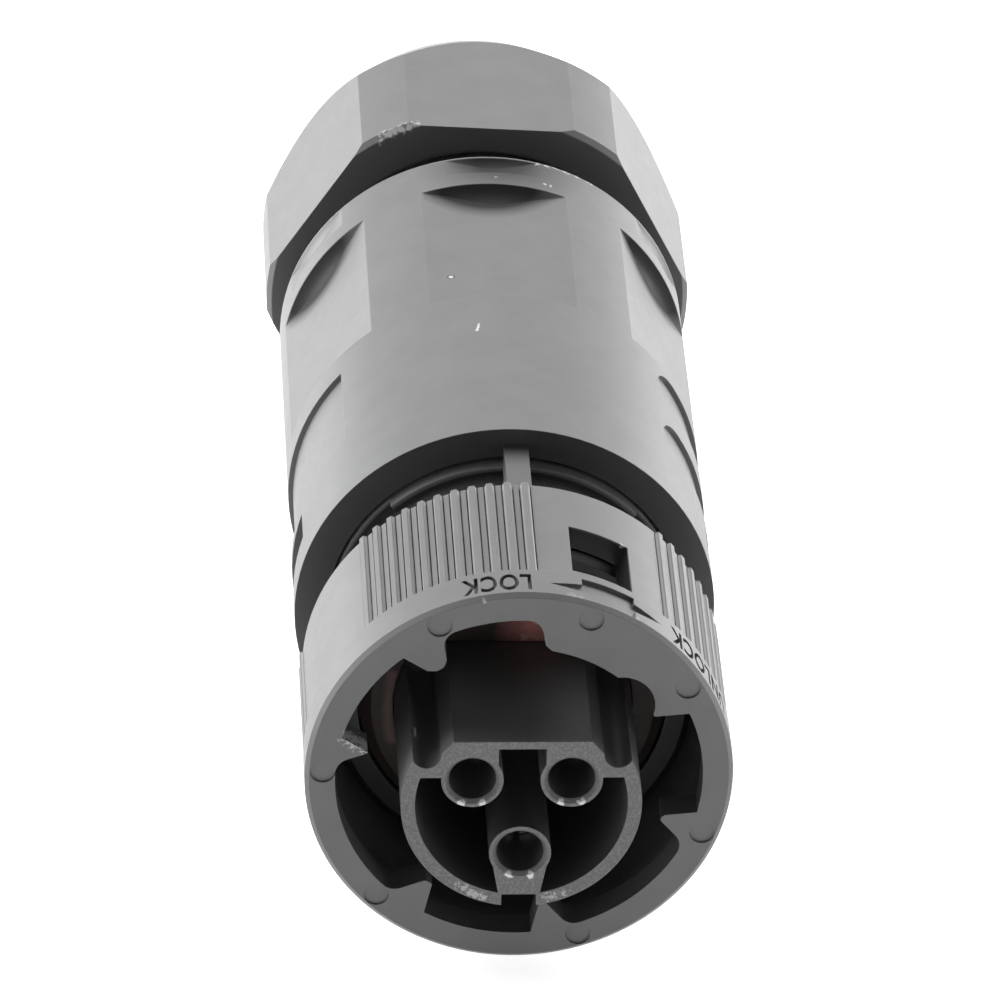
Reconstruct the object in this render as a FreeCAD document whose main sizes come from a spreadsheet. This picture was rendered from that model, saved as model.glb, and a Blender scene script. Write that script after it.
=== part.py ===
import FreeCAD, Part
import math
import os
import re
import Sketcher

# Inverter AC connector, cable side: a keyed bayonet locking ring on a front housing, a round sleeve with
# wrench flats, and a hexagonal gland nut. The connector lies along Y: the mating face looks to -Y at
# station 0, the cable leaves to +Y. Angles round the axis start at +Z and grow toward +X. Millimetres.

SIZES = {
    # clearances
    "running_gap": (0.3, "between pieces that move past each other"),
    "end_gap": (0.4, "along the axis, between a moving piece and its stop"),
    "seat_gap": (0.1, "between pieces that seat in each other"),
    "chamber_gap": (0.4, "radial room round the snap flange in the ring"),
    "carrier_gap": (0.5, "radial room round the carrier in the sleeve"),
    "overcut": (1.0, "how far a cutter reaches past the face that it opens"),
    # locking ring
    "ring_radius": (19.0, "outer radius of the locking ring"),
    "ring_length": (19.4, "length of the locking ring"),
    "ring_wall": (2.4, "wall of the ring round its chamber"),
    "ring_edge": (0.4, "chamfer on the ring's front edge"),
    "mouth_depth": (3.0, "thickness of the ring's front flange"),
    "land_height": (2.9, "height of the lands between the notches in the mouth"),
    "notch_lip": (0.3, "height of the lip between the notches and the chamber's wall"),
    "scallop_radius": (2.95, "radius of the scallop in the widest land"),
    "scallop_inset": (1.8, "distance of the scallop's centre inside the lands"),
    "scallop_angle": (50.0, "angle of the scallop's centre"),
    "notch_round": (1.55, "radius of the round notch ends"),
    "lug_room": (9.9, "length of the chamber for the mate's lugs, up to the neck"),
    "stop_margin": (1.0, "angle left at each end of the ring's stop slots, degrees"),
    "lock_angle": (30.0, "turn of the ring from unlocked to locked, degrees"),
    "window_start": (14.0, "angle where the window in the ring starts"),
    "window_sweep": (17.9, "angle that the window takes"),
    "window_front": (5.5, "station of the window's front edge"),
    "window_length": (7.6, "length of the window along the axis"),
    "band_length": (4.2, "length of the plain band at the ring's front"),
    "band_height": (0.35, "height of that band over the surface behind it"),
    "knurl_start": (-45.7, "angle of the first knurl rib"),
    "knurl_pitch": (4.85, "angle from one knurl rib to the next"),
    "knurl_ribs": (11, "ribs in a knurl panel"),
    "knurl_panels": (4, "knurl panels round the ring"),
    "knurl_height": (0.3, "height of a knurl rib"),
    "knurl_foot": (0.84, "width of a knurl rib at its foot"),
    "knurl_crest": (0.5, "width of a knurl rib at its top"),
    "mark_radius": (1.12, "radius of the ejector marks on the front face"),
    "mark_inset": (1.6, "distance of the ejector marks' centres from the ring's outside"),
    "mark_depth": (0.2, "depth of the ejector marks"),
    # front housing
    "snap_height": (1.2, "height of the snap flange over the neck"),
    "snap_length": (1.7, "length of the snap flange"),
    "snap_bevel": (0.6, "bevel on the snap flange's front edge"),
    "gasket_rim": (2.3, "wall of the snap flange round the front gasket's groove"),
    "gasket_depth": (2.1, "depth of the groove for the front gasket"),
    "gasket_height": (0.5, "height of the front gasket out of its groove"),
    "gasket_lean": (1.2, "radial slope of the gasket's front edge"),
    "gasket_edge": (0.4, "depth in the groove at which that slope starts"),
    "front_wall": (2.6, "thickness of the front housing's end wall"),
    "neck_wall": (2.4, "wall of the neck round the insert's flange"),
    "neck_gap": (9.1, "length of the neck from the ring to the sleeve"),
    "plug_length": (13.5, "length of the plug in the sleeve"),
    "plug_wall": (2.3, "wall of the plug round the carrier's spigot"),
    "rib_width": (2.2, "width of the key ribs on the neck"),
    "rib_height": (2.4, "height of the key ribs over the neck"),
    "rib_setback": (1.5, "length from the snap flange's stop to the key ribs"),
    "rib_count": (3, "key ribs round the neck"),
    "root_depth": (0.8, "how deep ribs and lugs are rooted in their wall"),
    "shoulder_length": (1.3, "length of the plug's shoulders in front of the sleeve"),
    "shoulder_height": (1.4, "height of the shoulders, rooted in the neck"),
    "shoulder_start": (-42.0, "angle where the first shoulder starts"),
    "shoulder_sweep": (89.0, "angle that a shoulder takes"),
    "lug_width": (7.0, "width of the latch lugs"),
    "lug_height": (1.9, "height of the latch lugs over the plug"),
    "lug_top": (0.8, "length of the latch lugs' flat tops"),
    # round seals
    "cord_radius": (0.7, "radius of the O-rings' section"),
    "cord_gap": (0.05, "gap left round an O-ring"),
    "insert_ring_inset": (6.4, "length from the insert's O-ring to its back face"),
    "plug_ring_inset": (3.1, "length from the plug's O-ring to its end"),
    # sleeve housing
    "sleeve_turn": (2.0, "turn of the sleeve and front housing round the axis, degrees"),
    "sleeve_radius": (19.1, "outer radius of the sleeve"),
    "sleeve_wall": (2.9, "wall of the sleeve round the plug and carrier"),
    "rim_drop": (0.9, "radial drop of the back rim's chamfer"),
    "rim_length": (1.4, "length of the back rim's chamfer"),
    "stop_height": (1.0, "height of the shoulder behind the carrier"),
    "chamber_wall": (2.9, "length from the wire chamber's end to the sleeve's back face"),
    "flat_depth": (1.25, "depth of the wrench flats"),
    "flat_gap": (3.2, "length from the left label recess to the wrench flats"),
    "flat_inset": (6.6, "length from the wrench flats to the sleeve's back face"),
    "rim_flat_depth": (0.5, "depth of the short flats behind the wrench flats"),
    "rim_flat_length": (2.9, "length of the short flats"),
    "rim_flat_inset": (1.6, "length from the short flats to the sleeve's back face"),
    "scoop_end": (2.5, "radius of the scoops that end the flats at the back"),
    "scoop_sink": (0.02, "depth of the scoops' feet under the flats"),
    "flat_count": (6, "wrench flats round the sleeve"),
    "label_depth": (0.45, "depth of the label recesses"),
    "label_inset": (9.5, "length from the sleeve's front to the left label recess"),
    "label_length": (12.0, "length of the left label recess along the axis"),
    "label_sweep": (78.0, "angle that the left label recess takes"),
    "oval_height": (5.2, "height along the axis of the two right label recesses"),
    "oval_inset": (12.0, "length from the sleeve's front to the first oval recess's middle"),
    "oval_spacing": (9.1, "distance from one oval recess to the other"),
    "oval_sweep": (66.0, "angle between an oval recess's end centres"),
    "latch_inset": (4.0, "length from the sleeve's front to the latch windows"),
    "latch_length": (4.0, "length of the latch windows"),
    "latch_sweep": (29.4, "angle that a latch window takes"),
    # gland
    "spigot_step": (3.6, "radial step from the sleeve down to the spigot"),
    "spigot_wall": (2.3, "wall of the spigot round the cable seal"),
    "gland_flare": (0.7, "radial flare of the gland cone"),
    "gland_length": (6.0, "length of the gland cone"),
    "ledge_height": (2.7, "height of the ledge in front of the cable seal"),
    "seal_inset": (3.1, "length from the sleeve's back face to the cable seal"),
    "seal_shoulder": (5.4, "length of the cable seal's wide front"),
    "seal_length": (17.5, "length of the cable seal"),
    "seal_wall": (2.6, "wall of the cable seal inside the claw"),
    "reducer_wall": (2.3, "wall of the reducer ring"),
    "reducer_lip_height": (1.7, "height of the reducer's back lip over the seal's bore"),
    "reducer_lip_length": (1.2, "thickness of the reducer's back lip"),
    "claw_wall": (1.5, "wall of the claw's fingers"),
    "claw_reach": (2.0, "how far the fingers reach into the spigot"),
    "finger_length": (9.5, "length of the claw's fingers"),
    "finger_taper": (0.5, "radial taper of the fingers' tips"),
    "finger_lead": (0.8, "length of that taper"),
    "claw_flange_height": (1.7, "height of the claw's flange over the fingers"),
    "claw_flange_length": (2.5, "thickness of the claw's flange"),
    "claw_slot_width": (1.2, "width of the slots between the fingers"),
    "claw_slots": (6, "slots across the claw, each cutting both sides"),
    # gland nut
    "nut_turn": (3.0, "turn of the nut as it stands, degrees"),
    "nut_back": (109.6, "station of the nut's end, the back end of the connector"),
    "nut_length": (23.6, "length of the nut"),
    "nut_gap": (5.1, "length of bare spigot between sleeve and nut"),
    "nut_inset": (0.5, "how far the nut's flats lie inside the sleeve's outside"),
    "corner_height": (1.6, "height of the nut's turned corners over its flats"),
    "nut_edge": (0.5, "chamfer on the nut's front corners"),
    "nut_cone_length": (9.4, "length of the nut's tapered back"),
    "nut_cone_drop": (0.485, "radial taper of the nut's back for each millimetre"),
    "nut_round": (4.5, "rounding of the nut's end"),
    "nut_end": (2.3, "wall of the nut behind the claw"),
    "thread_lead": (0.5, "chamfer at the mouth of the nut's thread bore"),
    "nut_lip_height": (0.3, "height of the lip that holds the claw in the nut"),
    "nut_lip_length": (0.8, "thickness of that lip"),
    "lip_lead": (0.6, "length of the slope from the thread bore to that lip"),
    "hole_inset": (0.4, "how far the nut's cable hole stands inside the claw"),
    "hole_edge": (0.6, "chamfer on the nut's cable hole"),
    # socket insert
    "flange_height": (1.75, "height of the insert's flange over its shroud"),
    "insert_tail": (1.0, "how far the insert reaches past the sleeve's front"),
    "nose_length": (16.4, "depth of the insert's front, from its face to the floor between the towers"),
    "floor_inset": (0.9, "length from that floor to the front housing"),
    "shroud_wall": (1.25, "wall of the shroud"),
    "shroud_open": (120.0, "angle that the shroud is open at the top"),
    "bridge_top": (6.5, "height of the flat top over the upper sockets"),
    "bridge_width": (12.2, "width of the flat top"),
    "bridge_lean": (0.84, "lean of the bridge's sides, out for each millimetre down"),
    "bridge_slot_width": (4.2, "width of the slot between the upper sockets"),
    "bridge_web": (0.75, "thickness of the web over that slot"),
    "web_bottom": (2.8, "height of the bottom of the side webs"),
    "web_lap": (0.4, "how far webs run into the walls that they join"),
    "scoop_radius": (1.3, "radius of the scoops beside the flat top"),
    "scoop_gap": (2.35, "distance of the scoops' centres from the flat top's edges"),
    "scoop_depth": (1.4, "depth of the scoops' centres under the flat top"),
    "key_width": (3.1, "width of the key notch under the earth socket"),
    # contacts
    "pole_circle": (5.05, "radius of the circle that the three poles lie on"),
    "tower_radius": (2.75, "outer radius of a socket tower"),
    "socket_radius": (2.1, "radius of the hole in a tower"),
    "hole_lead": (0.35, "chamfer at the mouth of the hole in a tower"),
    "pin_radius": (1.6, "radius of the pin that a contact takes"),
    "pin_length": (12.0, "length of the bore for a pin"),
    "tip_inset": (7.4, "depth of the line and neutral contacts' tips in their holes"),
    "earth_lead": (1.2, "how much earlier the earth contact starts"),
    "slit_width": (0.5, "width of the slits in a contact"),
    "slit_length": (5.0, "length of the slits in a contact"),
    "collar_radius": (3.15, "radius of a contact's collar"),
    "collar_length": (9.5, "length of a contact's collar"),
    # contact carrier and terminals
    "terminal_inset": (2.0, "length from the plug's end to the terminals"),
    "terminal_length": (12.0, "length of a terminal"),
    "terminal_width": (6.4, "width of a terminal"),
    "terminal_inner_wall": (2.45, "distance of a terminal's inner face from its wire's axis"),
    "terminal_outer_wall": (5.75, "distance of a terminal's outer face from its wire's axis"),
    "carrier_tail": (4.0, "length of the carrier behind the terminals"),
    "shank_length": (4.0, "length of a contact's shank in its terminal"),
    "screw_inset": (4.0, "length from a terminal's back face to its screw"),
    "screw_radius": (1.9, "radius of a terminal screw's thread"),
    "screw_tip": (2.45, "distance of a screw's tip from its wire's axis"),
    "head_radius": (2.8, "radius of a terminal screw's head"),
    "head_height": (2.2, "height of a terminal screw's head"),
    "drive_width": (0.8, "width of the screws' drive slots"),
    "drive_depth": (1.0, "depth of the screws' drive slots"),
}

# Radii that follow from the sizes, from the outside in: ring and neck, then sleeve, gland and terminals.
RADII = {
    "chamber_radius": "ring_radius - ring_wall",
    "notch_radius": "chamber_radius - notch_lip",
    "land_radius": "notch_radius - land_height",
    "scallop_circle": "land_radius - scallop_inset",
    "grip_radius": "ring_radius - band_height",
    "mark_circle": "ring_radius - mark_inset",
    "snap_radius": "chamber_radius - chamber_gap",
    "neck_radius": "snap_radius - snap_height",
    "collar_bore": "neck_radius + running_gap",
    "rib_radius": "neck_radius + rib_height",
    "gasket_radius": "snap_radius - gasket_rim",
    "insert_bore": "neck_radius - neck_wall",
    "insert_flange": "insert_bore - 2 * seat_gap",
    "shroud_radius": "insert_flange - flange_height",
    "shroud_inner": "shroud_radius - shroud_wall",
    "sleeve_bore": "sleeve_radius - sleeve_wall",
    "stop_bore": "sleeve_bore - stop_height",
    "plug_radius": "sleeve_bore - running_gap",
    "carrier_bore": "plug_radius - plug_wall",
    "carrier_spigot": "carrier_bore - 2 * seat_gap",
    "carrier_radius": "sleeve_bore - carrier_gap",
    "label_floor": "sleeve_radius - label_depth",
    "spigot_radius": "sleeve_radius - spigot_step",
    "gland_bore": "spigot_radius - spigot_wall",
    "gland_mouth": "gland_bore + gland_flare",
    "ledge_radius": "gland_bore - ledge_height",
    "claw_outer": "gland_bore - running_gap",
    "claw_inner": "claw_outer - claw_wall",
    "claw_flange": "claw_outer + claw_flange_height",
    "seal_outer": "claw_inner - running_gap",
    "seal_bore": "seal_outer - seal_wall",
    "reducer_outer": "seal_bore - 2 * seat_gap",
    "reducer_bore": "reducer_outer - reducer_wall",
    "reducer_lip": "seal_bore + reducer_lip_height",
    "thread_bore": "spigot_radius + running_gap",
    "nut_seat": "claw_flange + running_gap",
    "nut_lip_radius": "claw_flange - nut_lip_height",
    "nut_hole": "claw_inner - hole_inset",
    "nut_apothem": "sleeve_radius - nut_inset",
    "nut_corner": "nut_apothem + corner_height",
    "contact_radius": "socket_radius - seat_gap",
    "terminal_low": "pole_circle - terminal_inner_wall",
    "terminal_high": "pole_circle + terminal_outer_wall",
    "head_low": "terminal_high + end_gap",
    "head_high": "head_low + head_height",
}

# Stations along the axis that follow from the sizes: the front end counts from the ring's face, and the gland
# from the nut's end.
STATIONS = {
    "neck_front": "mouth_depth + lug_room",
    "snap_back": "neck_front + snap_length",
    "collar_front": "snap_back + end_gap",
    "rib_front": "collar_front + rib_setback",
    "gasket_floor": "neck_front + gasket_depth",
    "wall_back": "gasket_floor + front_wall",
    "sleeve_front": "ring_length + neck_gap",
    "plug_back": "sleeve_front + plug_length",
    "plug_ring_at": "plug_back - plug_ring_inset",
    "insert_back": "sleeve_front + insert_tail",
    "insert_ring_at": "insert_back - insert_ring_inset",
    "nose_floor": "neck_front - floor_inset",
    "nose_front": "nose_floor - nose_length",
    "contact_tip": "nose_front + tip_inset",
    "pin_depth": "contact_tip + pin_length",
    "slit_back": "contact_tip + slit_length",
    "seat_front": "insert_back - collar_length",
    "latch_front": "sleeve_front + latch_inset",
    "label_front": "sleeve_front + label_inset",
    "label_back": "label_front + label_length",
    "oval_first": "sleeve_front + oval_inset",
    "terminal_front": "plug_back + terminal_inset",
    "terminal_back": "terminal_front + terminal_length",
    "screw_at": "terminal_back - screw_inset",
    "shank_back": "terminal_front + shank_length",
    "carrier_back": "terminal_back + carrier_tail",
    "stop_station": "carrier_back + end_gap",
    "claw_back": "nut_back - nut_end - running_gap",
    "claw_root": "claw_back - claw_flange_length",
    "claw_front": "claw_root - finger_length",
    "spigot_back": "claw_front + claw_reach",
    "nut_front": "nut_back - nut_length",
    "nut_cone_at": "nut_back - nut_cone_length",
    "lip_back": "claw_root - running_gap",
    "lip_front": "lip_back - nut_lip_length",
    "thread_back": "lip_front - lip_lead",
    "sleeve_back": "nut_front - nut_gap",
    "chamber_back": "sleeve_back - chamber_wall",
    "seal_front": "sleeve_back + seal_inset",
    "seal_step": "seal_front + seal_shoulder",
    "seal_back": "seal_front + seal_length",
    "flat_front": "label_back + flat_gap",
    "flat_back": "sleeve_back - flat_inset",
    "rim_flat_back": "sleeve_back - rim_flat_inset",
    "rim_flat_front": "rim_flat_back - rim_flat_length",
}
FOLLOWING = {**RADII, **STATIONS}

# start angle and sweep of the mouth's openings, degrees
SQUARE_NOTCHES = [(66, 37), (175, 35), (285, 35)]
ROUND_NOTCHES = [(-21.3, 22.3), (119, 40), (227, 45)]
MARK_ANGLES = [-25, 20, 57.6, 109.4, 161, 225.6, 272.4]
POLES = {"line": -60, "neutral": 60, "earth": 180}

os.makedirs("parts", exist_ok=True)
doc = FreeCAD.newDocument("inverter_ac_connector")
sheet = doc.addObject("Spreadsheet::Sheet", "Sizes")
for row, (alias, (number, note)) in enumerate(SIZES.items(), start=1):
    sheet.set("A%d" % row, note)
    sheet.set("B%d" % row, str(number))
    sheet.setAlias("B%d" % row, alias)
doc.recompute()

Y_AXIS = FreeCAD.Vector(0, 1, 0)
ALONG_Y = FreeCAD.Rotation(FreeCAD.Vector(1, 0, 0), -90)


def sized(formula):
    """Turn a formula of size names into an expression that reads the sheet."""
    def with_sheet(found):
        word = found.group()
        if word in FOLLOWING:
            return "(%s)" % sized(FOLLOWING[word])
        return "Sizes." + word if word in SIZES else word
    return re.sub(r"[a-z]\w*", with_sheet, str(formula))


def bind(item, prop, formula):
    item.setExpression(prop, sized(formula))


def origin_feature(body, role):
    return next(item for item in body.Origin.OriginFeatures if item.Role == role)


def new_body(name):
    return doc.addObject("PartDesign::Body", name)


def sketch_in(body, name, role):
    sketch = body.newObject("Sketcher::SketchObject", name)
    sketch.AttachmentSupport = [(origin_feature(body, role), "")]
    sketch.MapMode = "FlatFace"
    return sketch


def across(body, name, station, turn="0"):
    """A sketch across the axis at a station: sketch x is X, sketch y is Z, turned round the axis."""
    sketch = sketch_in(body, name, "XZ_Plane")
    turned_about = FreeCAD.Rotation(FreeCAD.Vector(0, 0, 1), 10)
    sketch.AttachmentOffset = FreeCAD.Placement(FreeCAD.Vector(), turned_about)
    bind(sketch, "AttachmentOffset.Base.z", "-(%s)" % station)
    bind(sketch, "AttachmentOffset.Rotation.Angle", "360 - (%s)" % turn)
    return sketch


def outline(sketch, corners):
    """Draw a closed outline with each corner held at a pair of formulas."""
    count = len(corners)
    first = sketch.GeometryCount
    angles = [2 * math.pi * i / count for i in range(count)]
    rough = [FreeCAD.Vector(10 * math.cos(a), 10 * math.sin(a), 0) for a in angles]
    for i in range(count):
        sketch.addGeometry(Part.LineSegment(rough[i], rough[(i + 1) % count]), False)
    for i in range(count):
        following = first + (i + 1) % count
        sketch.addConstraint(Sketcher.Constraint("Coincident", first + i, 2, following, 1))
    for i, (x, y) in enumerate(corners):
        for kind, formula, start in (("DistanceX", x, rough[i].x), ("DistanceY", y, rough[i].y)):
            held = sketch.addConstraint(Sketcher.Constraint(kind, -1, 1, first + i, 1, start))
            bind(sketch, "Constraints[%d]" % held, formula)


def circle(sketch, x, y, radius):
    """Draw a circle with its centre and radius held at formulas."""
    ring = sketch.addGeometry(Part.Circle(FreeCAD.Vector(9, 9, 0), FreeCAD.Vector(0, 0, 1), 3), False)
    for kind, formula in (("DistanceX", x), ("DistanceY", y)):
        held = sketch.addConstraint(Sketcher.Constraint(kind, -1, 1, ring, 3, 9))
        bind(sketch, "Constraints[%d]" % held, formula)
    held = sketch.addConstraint(Sketcher.Constraint("Radius", ring, 3))
    bind(sketch, "Constraints[%d]" % held, radius)


def spin(body, kind, name, corners, start="0", sweep="360"):
    """Revolve an outline of (radius, station) corners from a start angle through a sweep."""
    sketch = sketch_in(body, name + "_profile", "XY_Plane")
    sketch.AttachmentOffset = FreeCAD.Placement(FreeCAD.Vector(), FreeCAD.Rotation(Y_AXIS, 10))
    bind(sketch, "AttachmentOffset.Rotation.Angle", "(%s) + 270" % start)
    outline(sketch, corners)
    feature = body.newObject(kind, name)
    feature.Profile = sketch
    feature.ReferenceAxis = (sketch, ["V_Axis"])
    bind(feature, "Angle", sweep)
    return feature


def turned(body, name, corners, start="0", sweep="360"):
    return spin(body, "PartDesign::Revolution", name, corners, start, sweep)


def grooved(body, name, corners, start="0", sweep="360"):
    return spin(body, "PartDesign::Groove", name, corners, start, sweep)


def rectangle(low_x, high_x, low_y, high_y):
    return [(low_x, low_y), (high_x, low_y), (high_x, high_y), (low_x, high_y)]


def pocket(body, name, sketch, length):
    """Cut from a sketch toward +Y."""
    feature = body.newObject("PartDesign::Pocket", name)
    feature.Profile = sketch
    feature.Type = 0
    bind(feature, "Length", length)
    return feature


def pad(body, name, sketch, length):
    """Build from a sketch toward -Y."""
    feature = body.newObject("PartDesign::Pad", name)
    feature.Profile = sketch
    bind(feature, "Length", length)
    return feature


def pattern_axis(body):
    return (origin_feature(body, "Y_Axis"), [""])


def round_axis(body, name, feature, count, angle="360"):
    pattern = body.newObject("PartDesign::PolarPattern", name)
    pattern.Originals = [feature]
    pattern.Axis = pattern_axis(body)
    bind(pattern, "Angle", angle)
    bind(pattern, "Occurrences", count)
    body.Tip = pattern
    return pattern


def cylinder(name, radius, front, back, x="0", z="0"):
    item = doc.addObject("Part::Cylinder", name)
    item.Placement = FreeCAD.Placement(FreeCAD.Vector(), ALONG_Y)
    bind(item, "Radius", radius)
    bind(item, "Height", "(%s) - (%s)" % (back, front))
    bind(item, "Placement.Base.x", x)
    bind(item, "Placement.Base.y", front)
    bind(item, "Placement.Base.z", z)
    return item


def cone(name, front_radius, back_radius, front, back, x="0", z="0"):
    item = doc.addObject("Part::Cone", name)
    item.Placement = FreeCAD.Placement(FreeCAD.Vector(), ALONG_Y)
    bind(item, "Radius1", front_radius)
    bind(item, "Radius2", back_radius)
    bind(item, "Height", "(%s) - (%s)" % (back, front))
    bind(item, "Placement.Base.x", x)
    bind(item, "Placement.Base.y", front)
    bind(item, "Placement.Base.z", z)
    return item


def prism(name, corners, front, back):
    """A solid with one outline across the axis between two stations."""
    body = new_body(name)
    sketch = across(body, name + "_profile", back)
    outline(sketch, corners)
    pad(body, name + "_pad", sketch, "(%s) - (%s)" % (back, front))
    return body


def upright(name, radius, low, high, station):
    """A cylinder that stands along +Z at a station."""
    item = doc.addObject("Part::Cylinder", name)
    bind(item, "Radius", radius)
    bind(item, "Height", "(%s) - (%s)" % (high, low))
    bind(item, "Placement.Base.y", station)
    bind(item, "Placement.Base.z", low)
    return item


def box(name, left, right, front, back, low, high):
    item = doc.addObject("Part::Box", name)
    bind(item, "Length", "(%s) - (%s)" % (right, left))
    bind(item, "Width", "(%s) - (%s)" % (back, front))
    bind(item, "Height", "(%s) - (%s)" % (high, low))
    bind(item, "Placement.Base.x", left)
    bind(item, "Placement.Base.y", front)
    bind(item, "Placement.Base.z", low)
    return item


def joined(name, items):
    fuse = doc.addObject("Part::MultiFuse", name)
    fuse.Shapes = items
    fuse.Refine = True
    return fuse


def common(name, first, second):
    shared = doc.addObject("Part::Common", name)
    shared.Base = first
    shared.Tool = second
    return shared


def cut(name, base, tools):
    result = doc.addObject("Part::Cut", name)
    result.Base = base
    result.Tool = tools[0] if len(tools) == 1 else joined(name + "_tools", tools)
    result.Refine = True
    return result


def turn_about_axis(item, angle):
    """Turn a finished piece round the connector's axis."""
    item.Placement = FreeCAD.Placement(FreeCAD.Vector(), FreeCAD.Rotation(Y_AXIS, 10))
    bind(item, "Placement.Rotation.Angle", angle)
    return item


def pole_x(angle):
    return "pole_circle * sin(%s)" % angle


def pole_z(angle):
    return "pole_circle * cos(%s)" % angle


def cut_notches(body, kind, openings, corner):
    """Cut notches in the mouth: an arc at the notch radius and sides along the notch's own middle line."""
    arc = rectangle("land_radius - overcut", "notch_radius", "-overcut", "mouth_depth + overcut")
    reach = "(notch_radius - %s)" % corner
    for number, (start, sweep) in enumerate(openings, start=1):
        name = "%s_notch_%d" % (kind, number)
        grooved(body, name, arc, start, sweep)
        sides = across(body, name + "_sides", "-overcut", start + sweep / 2)
        half = "(%s * sin(%s) + %s)" % (reach, sweep / 2, corner)
        inner = "land_radius * cos(%s) - 2 * overcut" % (sweep / 2)
        outline(sides, rectangle("-" + half, half, inner, "%s * cos(%s)" % (reach, sweep / 2)))
        pocket(body, name + "_walls", sides, "mouth_depth + 2 * overcut")


def make_locking_ring():
    """Knurled bayonet ring: keyed mouth, chamber for the mate's lugs, collar that runs on the neck."""
    body = new_body("locking_ring")
    turned(body, "ring_blank", [
        ("land_radius", "0"),
        ("ring_radius - ring_edge", "0"),
        ("ring_radius", "ring_edge"),
        ("ring_radius", "band_length"),
        ("grip_radius", "band_length"),
        ("grip_radius", "ring_length"),
        ("collar_bore", "ring_length"),
        ("collar_bore", "collar_front"),
        ("chamber_radius", "collar_front"),
        ("chamber_radius", "mouth_depth"),
        ("land_radius", "mouth_depth"),
    ])
    cut_notches(body, "square", SQUARE_NOTCHES, "0")
    cut_notches(body, "round", ROUND_NOTCHES, "notch_round")
    rounds = across(body, "round_notch_ends", "-overcut")
    reach = "(notch_radius - notch_round)"
    for start, sweep in ROUND_NOTCHES:
        for angle in (start, start + sweep):
            circle(rounds, "%s * sin(%s)" % (reach, angle), "%s * cos(%s)" % (reach, angle), "notch_round")
    circle(rounds, "scallop_circle * sin(scallop_angle)", "scallop_circle * cos(scallop_angle)", "scallop_radius")
    pocket(body, "round_notch_corners", rounds, "mouth_depth + 2 * overcut")
    window_back = "window_front + window_length"
    window = rectangle("land_radius", "ring_radius + overcut", "window_front", window_back)
    grooved(body, "window", window, "window_start", "window_sweep")
    rib_half = "(90 / pi * rib_width / neck_radius + stop_margin)"
    slot_top = "rib_radius + running_gap"
    slot = rectangle("neck_radius", slot_top, "rib_front - end_gap", "ring_length + overcut")
    stop = grooved(body, "stop_slot", slot, "sleeve_turn - " + rib_half, "lock_angle + 2 * " + rib_half)
    round_axis(body, "stop_slots", stop, "rib_count")
    marks = across(body, "ejector_circles", "0")
    for angle in MARK_ANGLES:
        circle(marks, "mark_circle * sin(%s)" % angle, "mark_circle * cos(%s)" % angle, "mark_radius")
    pocket(body, "ejector_marks", marks, "mark_depth")
    rib_profile = across(body, "knurl_rib_profile", "ring_length", "knurl_start")
    outline(rib_profile, [
        ("-knurl_foot / 2", "grip_radius - knurl_height"),
        ("knurl_foot / 2", "grip_radius - knurl_height"),
        ("knurl_foot / 2", "grip_radius"),
        ("knurl_crest / 2", "grip_radius + knurl_height"),
        ("-knurl_crest / 2", "grip_radius + knurl_height"),
        ("-knurl_foot / 2", "grip_radius"),
    ])
    rib = pad(body, "knurl_rib", rib_profile, "ring_length - band_length")
    knurl = body.newObject("PartDesign::MultiTransform", "knurl")
    along = body.newObject("PartDesign::PolarPattern", "knurl_along_panel")
    panels = body.newObject("PartDesign::PolarPattern", "knurl_round_panels")
    along.Axis = pattern_axis(body)
    panels.Axis = pattern_axis(body)
    bind(along, "Angle", "knurl_pitch * (knurl_ribs - 1)")
    bind(along, "Occurrences", "knurl_ribs")
    bind(panels, "Angle", "360")
    bind(panels, "Occurrences", "knurl_panels")
    knurl.Originals = [rib]
    knurl.Transformations = [along, panels]
    body.Tip = knurl
    return body


def insert_outline(name, front, back, gap):
    """The insert's D-shaped outline, grown by a gap, as a solid between two stations."""
    disc = cylinder(name + "_disc", "shroud_radius + " + gap, front, back)
    reach = "(shroud_radius + overcut)"
    below = box(name + "_below", "-" + reach, reach, front, back, "-" + reach, "bridge_top + " + gap)
    return common(name, disc, below)


def ring_groove(outer, station):
    """Corners of a groove for an O-ring, cut from an outer radius, front to back."""
    floor = "(%s + seat_gap - 2 * cord_radius - 3 * cord_gap)" % outer
    half = "(cord_radius + 2 * cord_gap)"
    return [
        (outer, "%s - %s" % (station, half)),
        (floor, "%s - %s" % (station, half)),
        (floor, "%s + %s" % (station, half)),
        (outer, "%s + %s" % (station, half)),
    ]


def o_ring(label, outer, station):
    """A round seal between a piece of an outer radius and the bore round it."""
    item = doc.addObject("Part::Torus", label)
    item.Placement = FreeCAD.Placement(FreeCAD.Vector(), ALONG_Y)
    bind(item, "Radius1", "%s + seat_gap - cord_radius - cord_gap" % outer)
    bind(item, "Radius2", "cord_radius")
    bind(item, "Placement.Base.y", station)
    return item


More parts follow.
